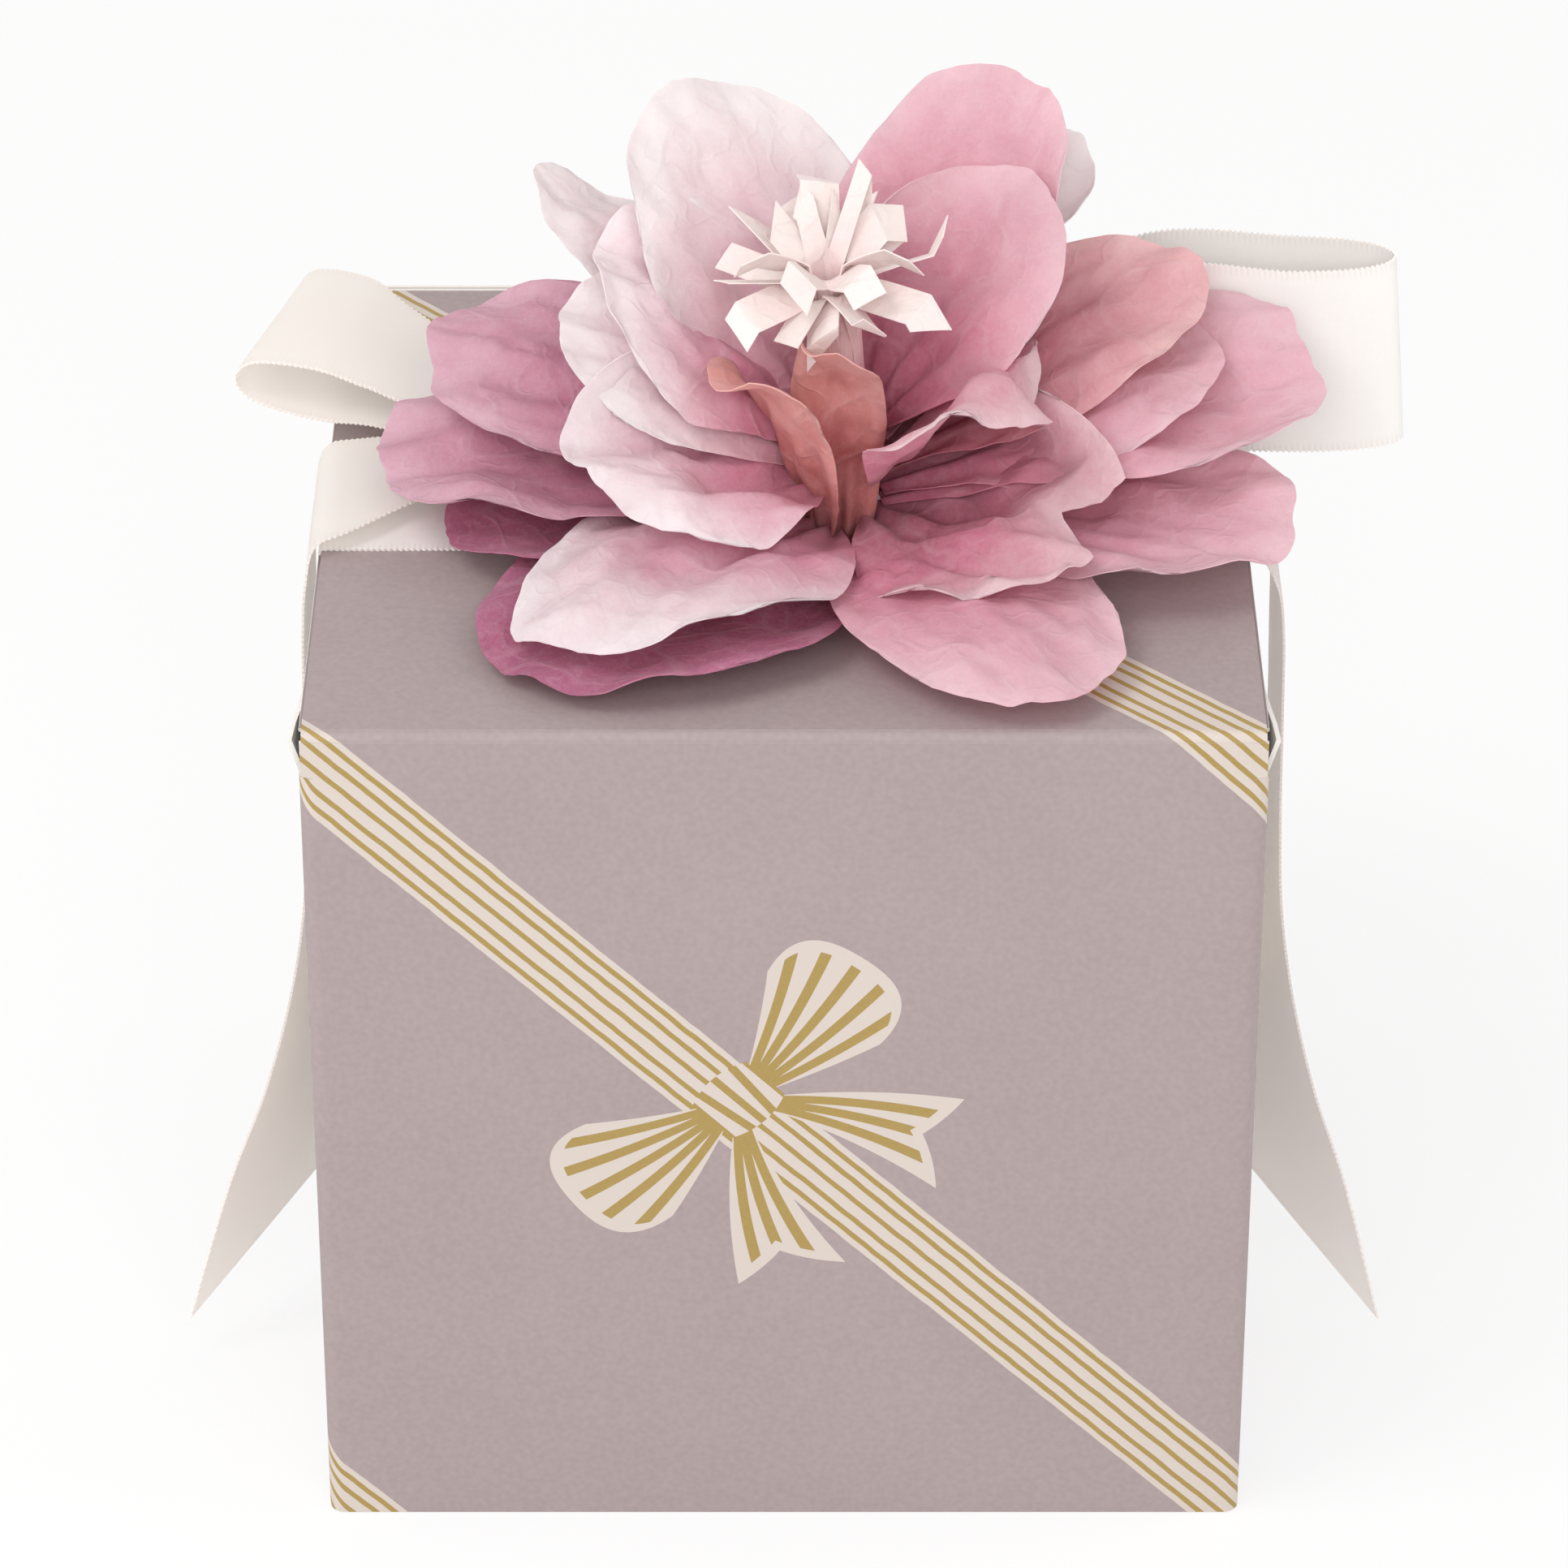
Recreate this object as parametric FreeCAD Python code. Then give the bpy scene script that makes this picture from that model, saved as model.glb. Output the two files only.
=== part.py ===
# Gift carton with a hinged tuck lid. A satin ribbon with a bow is tied round the lid,
# and a tissue paper flower is wired to the bow. Millimetres, +Z up, front towards -Y,
# origin at the middle of the base.
import FreeCAD, Part
import math
import os

Vector = FreeCAD.Vector

# Carton
BOX_WIDTH = 115.0
BOX_DEPTH = 115.0
BOX_HEIGHT = 115.0
BOARD = 0.6  # thickness of the printed board
CORNER_RADIUS = 2.0  # outside radius of the upright creases
CREASE_GAP = 0.15  # between a hinged edge and the board that it folds on
EAR_HEIGHT = 5.0  # of the square shoulders at the top of the front panel
EAR_INSET = 0.3  # of those shoulders from the full width
SLIT = 0.4  # cut between a shoulder and the side panel below it
GLUE_FLAP_WIDTH = 14.0
GLUE_FLAP_MARGIN = 3.0  # above the base flaps and below the tuck flap
BASE_SIDE_FLAP = 48.0  # width of the inner base flaps
BASE_SEAM = 0.5  # between the two outer base flaps, and beside them
BASE_SEAM_SET = 20.0  # of that seam behind the middle of the base

# Lid and its flaps
LID_SIDE_INSET = 0.5
LID_REAR_GAP = 0.4  # between the tuck flap's crease and the back panel
BACK_EDGE_DROP = 0.2  # of the back panel's top edge below the lid's top
TUCK_LENGTH = 22.0
TUCK_LEAN = 12.0  # degrees that the tuck flap leans in from upright
TUCK_SIDE_INSET = 4.0
TUCK_CORNER = 10.0  # bevel of the tuck flap's lower corners
DUST_GAP = 0.3  # between a dust flap and the ribbon under the lid
DUST_WIDTH = 45.0
DUST_FRONT_GAP = 3.0  # from the lid's crease to the start of the bevel
DUST_REAR_GAP = 11.0  # from the back panel
DUST_NOSE = 12.0  # bevel of the dust flap's rear corner

# Ribbon
RIBBON_WIDTH = 25.0
RIBBON = 0.3  # thickness
BOW_SETBACK = 56.5  # of the band's centre line behind the front of the carton
BAND_RETURN = 15.0  # length glued under the lid at each end
KNOT_SETBACK = 18.5  # of the knot behind the band's centre line
KNOT_LENGTH = 13.0
KNOT_DEPTH = 9.0
KNOT_HEIGHT = 6.5
KNOT_ROUND = 2.0
LOOP_FOLD = 5.0  # radius of the fold at the end of a loop
LOOP_PINCH = 7.0  # height of the ribbon where it leaves the knot
LOOP_PINCH_GAP = 2.4  # between a loop's two strands where they leave the knot
LOOP_FOLD_STEPS = 8
LOOP_LIFT = 0.8  # of the ribbon above the band or lid
LOOP_SPREAD = 1.4  # how soon a loop opens to the ribbon's full width
LEFT_LOOP_OVERHANG = 9.0
RIGHT_LOOP_OVERHANG = 20.5
LEFT_LOOP_RISE = 3.0  # of the lying loop's far end above the band
RIGHT_LOOP_RISE = 0.3  # of the standing loop's far end above the band
LEFT_LOOP_SET = 11.5  # of the loop's far end behind the knot
RIGHT_LOOP_SET = -2.0
LEFT_LOOP_LEAN = 7.0  # of the rear edge's far end towards the middle
RIGHT_LOOP_LEAN = 2.0  # of the upper edge's far end towards the middle
LEFT_TAIL_STANDOFF = 1.7  # between the side panel and the upper end of a tail
RIGHT_TAIL_STANDOFF = 4.0
TAIL_LAP_GAP = 0.3  # between the two lapped ends at a tail's bend
TAIL_BEND_DROP = 21.0  # of the bend below the lid's top
TAIL_BEND_SET = 5.0  # of the bend in front of the band's centre line
TAIL_ROOT_WIDTH = 5.0  # gathered width at the knot
TAIL_ROOT_GAP = 0.4  # between a tail and a loop at the knot
TAIL_LIFT = 1.6  # of a tail where it nears the lid's edge
TAIL_STRAIGHT = 0.6  # share of the ribbon's width that hangs straight below the bend
LEFT_TAIL_FLARE = 8.5  # of the cut end, away from the carton
RIGHT_TAIL_FLARE = 6.2
TAIL_TOE = 9.0  # of the cut end towards the front
TAIL_TWIST = 45.0  # degrees, at the cut end
TAIL_END_HEIGHT = 13.0  # middle of the cut end above the base
TAIL_CUT = 14.0  # height of the slanting cut
TAIL_STEPS = 6
# A tail's way over the lid: share of the way out to the lid's edge, of the way forward
# to the bend, of the lift and of the growth to the full width
TAIL_OVER_LID = [
    (0.0, 0.0, 0.0, 0.0),
    (0.7, 0.37, 1.0, 0.45),
    (0.93, 0.79, 1.0, 0.9),
    (1.0, 0.84, 0.7, 1.0),
]
# A tail's way down the side: share of the standoff, of the way forward and of the drop
TAIL_DOWN_SIDE = [(0.8, 0.92, 0.12), (1.0, 1.0, 0.35), (1.0, 1.0, 1.0)]

# Flower
FLOWER_RIGHT = 7.5  # of the flower's axis, right of the lid's middle
FLOWER_FORWARD = 11.0  # of the flower's axis, in front of the band's centre line
CORE_RADIUS = 3.6
CORE_TOP_RADIUS = 3.0
CORE_HEIGHT = 20.0
WIRE_RADIUS = 0.4
PETAL = 0.4  # thickness of a petal with its crumples
PETAL_CLEAR = 0.5  # between the core and a petal
PETAL_FIRST = 1.7  # height of the lowest petal's base above the lid
PETAL_PITCH = 0.75  # height from one petal's base to the next
PETAL_BASE_WIDTH = 4.4
PETAL_LEAST_CUP = 0.02  # depth of the cup across a nearly flat petal
FRINGE = 0.35  # thickness of a strip
FRINGE_WIDTH = 2.4
FRINGE_FOOT = 0.9  # share of its room in the ring that a strip's foot takes

# Petals from the lowest up: place of the tip right of the flower's axis and behind it,
# rise of the tip above the lid, and greatest width.
OUTER_PETALS = [
    (-33.5, -36.0, 2.6, 42.0),
    (22.5, -42.0, 2.8, 30.0),
    (-48.5, -5.0, 4.2, 27.0),
    (47.5, -7.0, 6.5, 27.0),
    (-26.5, -36.0, 6.0, 40.0),
    (-58.5, 7.0, 9.0, 24.0),
    (30.5, -18.0, 10.0, 33.0),
    (58.5, 10.0, 15.5, 23.0),
]
MIDDLE_PETALS = [
    (-51.5, 15.0, 17.5, 21.0),
    (44.5, 14.0, 22.5, 20.0),
    (-4.5, 50.0, 25.0, 34.0),
    (-30.5, -16.0, 17.0, 34.0),
    (41.5, 21.0, 28.0, 19.0),
    (22.5, -4.0, 24.0, 25.0),
    (-33.5, 4.0, 25.5, 24.0),
    (-37.5, 32.0, 37.0, 16.0),
    (28.5, 40.0, 37.0, 15.0),
]
INNER_PETALS = [
    (-29.5, 17.0, 38.0, 25.0),
    (19.5, 34.0, 48.5, 24.0),
    (-18.5, 32.0, 48.0, 26.0),
    (23.5, 16.0, 42.0, 22.0),
    (-13.5, -12.0, 23.0, 15.0),
    (-0.5, -16.0, 24.0, 12.0),
]
# Share of a petal's length, and share of its greatest width there
PETAL_OUTLINE = [(0.28, 0.62), (0.55, 0.96), (0.75, 1.0), (0.9, 0.78), (1.0, 0.4)]

# Rings of fringe strips
OUTER_FRINGE_COUNT = 8
OUTER_FRINGE_RADIUS = 2.7  # at the foot
OUTER_FRINGE_LENGTH = 17.0
OUTER_FRINGE_SLOPE = 66.0  # degrees
INNER_FRINGE_COUNT = 5
INNER_FRINGE_RADIUS = 1.6
INNER_FRINGE_LENGTH = 22.0
INNER_FRINGE_SLOPE = 76.0  # degrees
MIDDLE_FRINGE_COUNT = 2
MIDDLE_FRINGE_RADIUS = 0.5
MIDDLE_FRINGE_LENGTH = 25.0
MIDDLE_FRINGE_SLOPE = 86.0  # degrees

# Places worked out from the sizes above
half_width = BOX_WIDTH / 2
half_depth = BOX_DEPTH / 2
inner_width = half_width - BOARD
inner_depth = half_depth - BOARD
flat_width = half_width - CORNER_RADIUS
flat_depth = half_depth - CORNER_RADIUS
lid_under = BOX_HEIGHT - BOARD
lid_axis_y = -half_depth + BOARD / 2
lid_axis_z = BOX_HEIGHT - BOARD / 2
lid_half = half_width - LID_SIDE_INSET
tuck_axis_y = inner_depth - LID_REAR_GAP - BOARD / 2
dust_axis_x = half_width - BOARD / 2
dust_axis_z = lid_under - RIBBON - DUST_GAP - BOARD / 2
side_top = dust_axis_z - BOARD / 2 - CREASE_GAP
front_top = lid_under - CREASE_GAP
ear_bottom = front_top - EAR_HEIGHT
band_y = -half_depth + BOW_SETBACK
knot_y = band_y + KNOT_SETBACK
band_top = BOX_HEIGHT + RIBBON
tail_bend_y = band_y - TAIL_BEND_SET
tail_bend_z = BOX_HEIGHT - TAIL_BEND_DROP
flower_axis = Vector(FLOWER_RIGHT, band_y - FLOWER_FORWARD, 0)
core_foot = band_top

os.makedirs("parts", exist_ok=True)


def save(name, shape):
    """Write one named piece, and stop if it isn't a sound solid."""
    if not shape.isValid() or not shape.Solids:
        raise ValueError(name + " isn't a sound solid")
    shape.exportStep("parts/" + name + ".step")


def block(low, high):
    """A box between two opposite corners."""
    size = [b - a for a, b in zip(low, high)]
    return Part.makeBox(*size, Vector(*low))


def prism(points, along):
    """A flat polygon pushed straight along a vector."""
    wire = Part.makePolygon(points + points[:1])
    return Part.Face(wire).extrude(along)


def mirrored(shape):
    """The same piece on the other side of the middle plane."""
    return shape.mirror(Vector(0, 0, 0), Vector(1, 0, 0))


def strip(centres, spans, thickness):
    """A ribbon through straight cross sections: a centre and a full-width vector each."""
    sections = []
    last = len(centres) - 1
    for i, (centre, span) in enumerate(zip(centres, spans)):
        run = centres[min(i + 1, last)] - centres[max(i - 1, 0)]
        skin = run.cross(span).normalize() * (thickness / 2)
        half = span * 0.5
        corners = [centre - half - skin, centre + half - skin, centre + half + skin, centre - half + skin]
        sections.append(Part.makePolygon(corners + corners[:1]))
    return Part.makeLoft(sections, True, True)


def blend(a, b, share):
    """A value part of the way from a to b."""
    return a + (b - a) * share


def polar(axis, reach, turn, height):
    """A point at a reach and direction from an upright axis."""
    return axis + Vector(reach * math.cos(turn), reach * math.sin(turn), height)


def front_panel():
    """Front panel with a square shoulder at each top corner."""
    panel = block((-flat_width, -half_depth, 0), (flat_width, -inner_depth, front_top))
    ear = half_width - EAR_INSET
    shoulders = block((-ear, -half_depth, ear_bottom), (ear, -inner_depth, front_top))
    return panel.fuse(shoulders).removeSplitter()


def side_panel():
    """Left panel, which takes both of its upright creases round the corners."""
    outer = block((-half_width, -half_depth, 0), (half_width, half_depth, side_top))
    inner = block((-inner_width, -inner_depth, 0), (inner_width, inner_depth, side_top))

    def upright_edges(shape):
        return [e for e in shape.Edges if e.BoundBox.ZLength > side_top / 2]

    outer = outer.makeFillet(CORNER_RADIUS, upright_edges(outer))
    inner = inner.makeFillet(CORNER_RADIUS - BOARD, upright_edges(inner))
    wall = outer.cut(inner)
    side = wall.common(block((-half_width, -half_depth, 0), (-flat_width, half_depth, side_top)))
    slit = block((-half_width, -half_depth, ear_bottom - SLIT), (-flat_width, -flat_depth, side_top))
    return side.cut(slit)


def back_panel():
    """Back panel, whose top edge stands just behind the lid's rear crease."""
    return block((-flat_width, inner_depth, 0), (flat_width, half_depth, BOX_HEIGHT - BACK_EDGE_DROP))


def glue_flap():
    """Flap of the side panel that is glued inside the back panel."""
    foot = 2 * BOARD + GLUE_FLAP_MARGIN
    head = BOX_HEIGHT - TUCK_LENGTH - GLUE_FLAP_MARGIN
    return block(
        (-flat_width, inner_depth - BOARD, foot),
        (-flat_width + GLUE_FLAP_WIDTH, inner_depth, head),
    )


def base_outer_flap(front, back):
    """Outer base flap between two distances from the middle of the base."""
    side = inner_width - BASE_SEAM
    return block((-side, front, 0), (side, back, BOARD)).common(base_shape())


def base_side_flap():
    """Left base flap, glued on top of the two outer ones."""
    side = inner_depth - BASE_SEAM
    flap = block((-inner_width, -side, BOARD), (-inner_width + BASE_SIDE_FLAP, side, 2 * BOARD))
    return flap.common(base_shape())


def base_shape():
    """Room inside the panels at the base, with the rounded corners taken off."""
    corner = CORNER_RADIUS
    w, d = inner_width, inner_depth
    outline = [
        Vector(-w + corner, -d, 0),
        Vector(w - corner, -d, 0),
        Vector(w, -d + corner, 0),
        Vector(w, d - corner, 0),
        Vector(w - corner, d, 0),
        Vector(-w + corner, d, 0),
        Vector(-w, d - corner, 0),
        Vector(-w, -d + corner, 0),
    ]
    return prism(outline, Vector(0, 0, 2 * BOARD))


def lid_panel():
    """Lid with a round bead along the crease on which it swings."""
    rear = tuck_axis_y - BOARD / 2 - CREASE_GAP
    plate = block((-lid_half, lid_axis_y, lid_under), (lid_half, rear, BOX_HEIGHT))
    bead = Part.makeCylinder(
        BOARD / 2, 2 * lid_half, Vector(-lid_half, lid_axis_y, lid_axis_z), Vector(1, 0, 0)
    )
    return plate.fuse(bead).removeSplitter()


def tuck_flap():
    """Tuck flap behind the lid, leaning in from its round crease."""
    half = lid_half - TUCK_SIDE_INSET
    foot = lid_axis_z - TUCK_LENGTH
    front = tuck_axis_y - BOARD / 2
    outline = [
        Vector(-half, front, lid_axis_z),
        Vector(half, front, lid_axis_z),
        Vector(half, front, foot + TUCK_CORNER),
        Vector(half - TUCK_CORNER, front, foot),
        Vector(-half + TUCK_CORNER, front, foot),
        Vector(-half, front, foot + TUCK_CORNER),
    ]
    plate = prism(outline, Vector(0, BOARD, 0))
    axis = Vector(-half, tuck_axis_y, lid_axis_z)
    bead = Part.makeCylinder(BOARD / 2, 2 * half, axis, Vector(1, 0, 0))
    flap = plate.fuse(bead).removeSplitter()
    flap.rotate(axis, Vector(1, 0, 0), -TUCK_LEAN)
    return flap


def dust_flap():
    """Left dust flap, bevelled at the front so that the lid always rises ahead of it."""
    front = -half_depth + BOARD + DUST_FRONT_GAP
    rear = inner_depth - DUST_REAR_GAP
    tip = -dust_axis_x + DUST_WIDTH
    low = dust_axis_z - BOARD / 2
    outline = [
        Vector(-dust_axis_x, front, low),
        Vector(tip, front + DUST_WIDTH, low),
        Vector(tip, rear - DUST_NOSE, low),
        Vector(tip - DUST_NOSE, rear, low),
        Vector(-dust_axis_x, rear, low),
    ]
    plate = prism(outline, Vector(0, 0, BOARD))
    axis = Vector(-dust_axis_x, front, dust_axis_z)
    bead = Part.makeCylinder(BOARD / 2, rear - front, axis, Vector(0, 1, 0))
    return plate.fuse(bead).removeSplitter()


def ribbon_band():
    """Ribbon over the lid, folded round its two cut edges and glued underneath."""
    side = lid_half + RIBBON
    under = lid_under - RIBBON
    outline = [
        Vector(-side, 0, under),
        Vector(-lid_half + BAND_RETURN, 0, under),
        Vector(-lid_half + BAND_RETURN, 0, lid_under),
        Vector(-lid_half, 0, lid_under),
        Vector(-lid_half, 0, BOX_HEIGHT),
        Vector(lid_half, 0, BOX_HEIGHT),
        Vector(lid_half, 0, lid_under),
        Vector(lid_half - BAND_RETURN, 0, lid_under),
        Vector(lid_half - BAND_RETURN, 0, under),
        Vector(side, 0, under),
        Vector(side, 0, band_top),
        Vector(-side, 0, band_top),
    ]
    band = prism(outline, Vector(0, RIBBON_WIDTH, 0))
    band.translate(Vector(0, band_y - RIBBON_WIDTH / 2, 0))
    return band


def bow_knot():
    """Rounded knot that holds the loops, the tails and the flower's wire."""
    low = (-KNOT_LENGTH / 2, knot_y - KNOT_DEPTH / 2, band_top)
    high = (KNOT_LENGTH / 2, knot_y + KNOT_DEPTH / 2, band_top + KNOT_HEIGHT)
    knot = block(low, high)
    top_edges = [e for e in knot.Edges if e.BoundBox.ZMin > band_top]
    return knot.makeFillet(KNOT_ROUND, top_edges)


def bow_loop(side, overhang, rise, setback, lean, standing):
    """Loop of ribbon from the knot out past the lid and back (side is -1 or 1).

    A standing loop has its ribbon on edge. A lying one has it flat, one strand over the other.
    """
    root = KNOT_LENGTH / 2 + RIBBON
    fold_centre = half_width + overhang - LOOP_FOLD
    path = [(root, -LOOP_PINCH_GAP / 2), (fold_centre, -LOOP_FOLD)]
    for i in range(1, LOOP_FOLD_STEPS):
        turn = math.pi * (i / LOOP_FOLD_STEPS - 0.5)
        path.append((fold_centre + LOOP_FOLD * math.cos(turn), LOOP_FOLD * math.sin(turn)))
    path += [(fold_centre, LOOP_FOLD), (root, LOOP_PINCH_GAP / 2)]
    centres = []
    spans = []
    for out, gap in path:
        share = (out - root) / (fold_centre + LOOP_FOLD - root)
        width = blend(LOOP_PINCH, RIBBON_WIDTH, min(1.0, LOOP_SPREAD * share))
        foot = band_top + blend(LOOP_LIFT, rise, share)
        far = knot_y + setback * share
        if standing:
            centres.append(Vector(side * out, far + gap, foot + width / 2))
            spans.append(Vector(-side * lean * share, 0, width))
        else:
            centres.append(Vector(side * out, far, foot + LOOP_FOLD + gap))
            spans.append(Vector(-side * lean * share, width, 0))
    return strip(centres, spans, RIBBON)


def tail_place(standoff):
    """Distance from the middle plane to the upper of a tail's two lapped layers at its bend."""
    return half_width + standoff + RIBBON / 2


def tail_end(side, out):
    """Round end of a tail about its bend, at a distance from the middle plane."""
    foot = Vector(side * out - RIBBON / 2, tail_bend_y, tail_bend_z)
    return Part.makeCylinder(RIBBON_WIDTH / 2, RIBBON, foot, Vector(1, 0, 0))


def tail_top(side, standoff):
    """Ribbon tail from the knot, over the lid's edge to its bend."""
    upper = tail_place(standoff)
    edge = lid_half + RIBBON
    root = KNOT_LENGTH / 2 + RIBBON
    root_y = knot_y - LOOP_PINCH_GAP / 2 - RIBBON - TAIL_ROOT_GAP - TAIL_ROOT_WIDTH / 2
    foot = band_top + LOOP_LIFT
    centres = []
    spans = []
    for out, forward, lift, growth in TAIL_OVER_LID:
        x = side * blend(root, edge, out)
        y = blend(root_y, tail_bend_y, forward)
        centres.append(Vector(x, y, foot + TAIL_LIFT * lift))
        spans.append(Vector(0, blend(TAIL_ROOT_WIDTH, RIBBON_WIDTH, growth), 0))
    for out, forward, drop in TAIL_DOWN_SIDE:
        x = side * blend(edge, upper, out)
        y = blend(root_y, tail_bend_y, forward)
        centres.append(Vector(x, y, BOX_HEIGHT - TAIL_BEND_DROP * drop))
        spans.append(Vector(0, RIBBON_WIDTH, 0))
    return strip(centres, spans, RIBBON).fuse(tail_end(side, upper)).removeSplitter()


def ribbon_tail(side, standoff, flare):
    """Hanging tail below its bend, which turns and flares to a slanting cut."""
    lower = tail_place(standoff) + RIBBON + TAIL_LAP_GAP
    straight = tail_bend_z - TAIL_STRAIGHT * RIBBON_WIDTH
    centres = [Vector(side * lower, tail_bend_y, tail_bend_z)]
    spans = [Vector(0, RIBBON_WIDTH, 0)]
    for i in range(TAIL_STEPS):
        share = i / (TAIL_STEPS - 1)
        swing = share * share
        turn = math.radians(TAIL_TWIST) * swing
        height = blend(straight, TAIL_END_HEIGHT, share)
        centres.append(Vector(side * (lower + flare * swing), tail_bend_y - TAIL_TOE * swing, height))
        cut = TAIL_CUT if i == TAIL_STEPS - 1 else 0
        across = Vector(-side * math.sin(turn), math.cos(turn), 0)
        spans.append(across * RIBBON_WIDTH + Vector(0, 0, cut))
    return strip(centres, spans, RIBBON).fuse(tail_end(side, lower)).removeSplitter()


def flower_core():
    """Gathered and twisted paper to which all the petals are bound."""
    foot = flower_axis + Vector(0, 0, core_foot)
    return Part.makeCone(CORE_RADIUS, CORE_TOP_RADIUS, CORE_HEIGHT, foot)


def binding_wire():
    """Wire round the foot of the core, with a leg to the knot."""
    ring_radius = CORE_RADIUS + WIRE_RADIUS
    middle = flower_axis + Vector(0, 0, core_foot + WIRE_RADIUS)
    ring = Part.makeTorus(ring_radius, WIRE_RADIUS, middle)
    knot_front = Vector(0, knot_y - KNOT_DEPTH / 2, middle.z)
    way = (knot_front - middle).normalize()
    start = middle + way * ring_radius
    leg = Part.makeCylinder(WIRE_RADIUS, (knot_front - start).Length - WIRE_RADIUS, start, way)
    return ring.fuse(leg)


def petal(right, back, rise, width, base):
    """Cupped petal from the core out to its tip; it bends round the flower's axis."""
    turn = math.atan2(back, right)
    reach = math.hypot(right, back)
    across = Vector(-math.sin(turn), math.cos(turn), 0)
    foot = CORE_RADIUS + PETAL_CLEAR
    slope = math.atan2(rise - base, reach - foot)
    skin = Vector(-math.sin(slope) * math.cos(turn), -math.sin(slope) * math.sin(turn), math.cos(slope))
    stations = [(0.0, PETAL_BASE_WIDTH)] + [(share, width * part) for share, part in PETAL_OUTLINE]
    sections = []
    for share, wide in stations:
        out = blend(foot, reach, share)
        middle = polar(flower_axis, out, turn, BOX_HEIGHT + blend(base, rise, share))
        cup = wide * wide * math.sin(slope) / (8 * out)
        cup = max(cup, PETAL_LEAST_CUP) if cup >= 0 else min(cup, -PETAL_LEAST_CUP)
        one_side = middle - across * (wide / 2) + skin * cup
        other_side = middle + across * (wide / 2) + skin * cup
        up = skin * PETAL
        lower = Part.Arc(one_side, middle, other_side).toShape()
        upper = Part.Arc(other_side + up, middle + up, one_side + up).toShape()
        ends = [Part.makeLine(other_side, other_side + up), Part.makeLine(one_side + up, one_side)]
        sections.append(Part.Wire([lower, ends[0], upper, ends[1]]))
    return Part.makeLoft(sections, True, True)


def fringe_ring(count, foot, length, slope):
    """Paper strips that stand in a ring on top of the core."""
    slope = math.radians(slope)
    head = core_foot + CORE_HEIGHT
    strips = []
    for i in range(count):
        turn = 2 * math.pi * (i + 0.5) / count
        out = Vector(math.cos(turn), math.sin(turn), 0)
        start = polar(flower_axis, foot, turn, head + FRINGE * math.cos(slope))
        centres = [start, start + out * (length * math.cos(slope)) + Vector(0, 0, length * math.sin(slope))]
        wide = min(FRINGE_WIDTH, 2 * foot * math.tan(math.pi / count) * FRINGE_FOOT)
        across = Vector(-math.sin(turn), math.cos(turn), 0)
        strips.append(strip(centres, [across * wide, across * FRINGE_WIDTH], FRINGE))
    return Part.makeCompound(strips)


save("front_panel", front_panel())
save("back_panel", back_panel())
save("left_panel", side_panel())
save("right_panel", mirrored(side_panel()))
save("glue_flap", glue_flap())
save("base_front_flap", base_outer_flap(-inner_depth, BASE_SEAM_SET - BASE_SEAM / 2))
save("base_back_flap", base_outer_flap(BASE_SEAM_SET + BASE_SEAM / 2, inner_depth))
save("base_left_flap", base_side_flap())
save("base_right_flap", mirrored(base_side_flap()))
save("lid_panel", lid_panel())
save("tuck_flap", tuck_flap())
save("left_dust_flap", dust_flap())
save("right_dust_flap", mirrored(dust_flap()))
save("ribbon_band", ribbon_band())
save("bow_knot", bow_knot())
save(
    "left_bow_loop",
    bow_loop(-1, LEFT_LOOP_OVERHANG, LEFT_LOOP_RISE, LEFT_LOOP_SET, LEFT_LOOP_LEAN, False),
)
save(
    "right_bow_loop",
    bow_loop(1, RIGHT_LOOP_OVERHANG, RIGHT_LOOP_RISE, RIGHT_LOOP_SET, RIGHT_LOOP_LEAN, True),
)
save("left_tail_top", tail_top(-1, LEFT_TAIL_STANDOFF))
save("left_tail", ribbon_tail(-1, LEFT_TAIL_STANDOFF, LEFT_TAIL_FLARE))
save("right_tail_top", tail_top(1, RIGHT_TAIL_STANDOFF))
save("right_tail", ribbon_tail(1, RIGHT_TAIL_STANDOFF, RIGHT_TAIL_FLARE))
save("flower_core", flower_core())
save("binding_wire", binding_wire())

stack = PETAL_FIRST
for layer, petals in (("outer", OUTER_PETALS), ("middle", MIDDLE_PETALS), ("inner", INNER_PETALS)):
    for number, (right, back, rise, width) in enumerate(petals, 1):
        save(f"{layer}_petal_{number}", petal(right, back, rise, width, stack))
        stack += PETAL_PITCH

save(
    "fringe_outer",
    fringe_ring(OUTER_FRINGE_COUNT, OUTER_FRINGE_RADIUS, OUTER_FRINGE_LENGTH, OUTER_FRINGE_SLOPE),
)
save(
    "fringe_inner",
    fringe_ring(INNER_FRINGE_COUNT, INNER_FRINGE_RADIUS, INNER_FRINGE_LENGTH, INNER_FRINGE_SLOPE),
)
save(
    "fringe_middle",
    fringe_ring(MIDDLE_FRINGE_COUNT, MIDDLE_FRINGE_RADIUS, MIDDLE_FRINGE_LENGTH, MIDDLE_FRINGE_SLOPE),
)
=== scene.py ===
"""Looks of a printed gift carton whose lid carries a satin bow and a tissue paper flower.

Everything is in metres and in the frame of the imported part: +Z up, front towards -Y,
origin at the middle of the base. Tables of shapes are in millimetres and scaled by MM.
"""

import logging
import math
from dataclasses import dataclass, field
from enum import Enum
from functools import reduce
from operator import or_
from typing import Any, Callable, Mapping, Sequence

import bpy
import numpy as np
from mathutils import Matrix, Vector, noise


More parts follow.
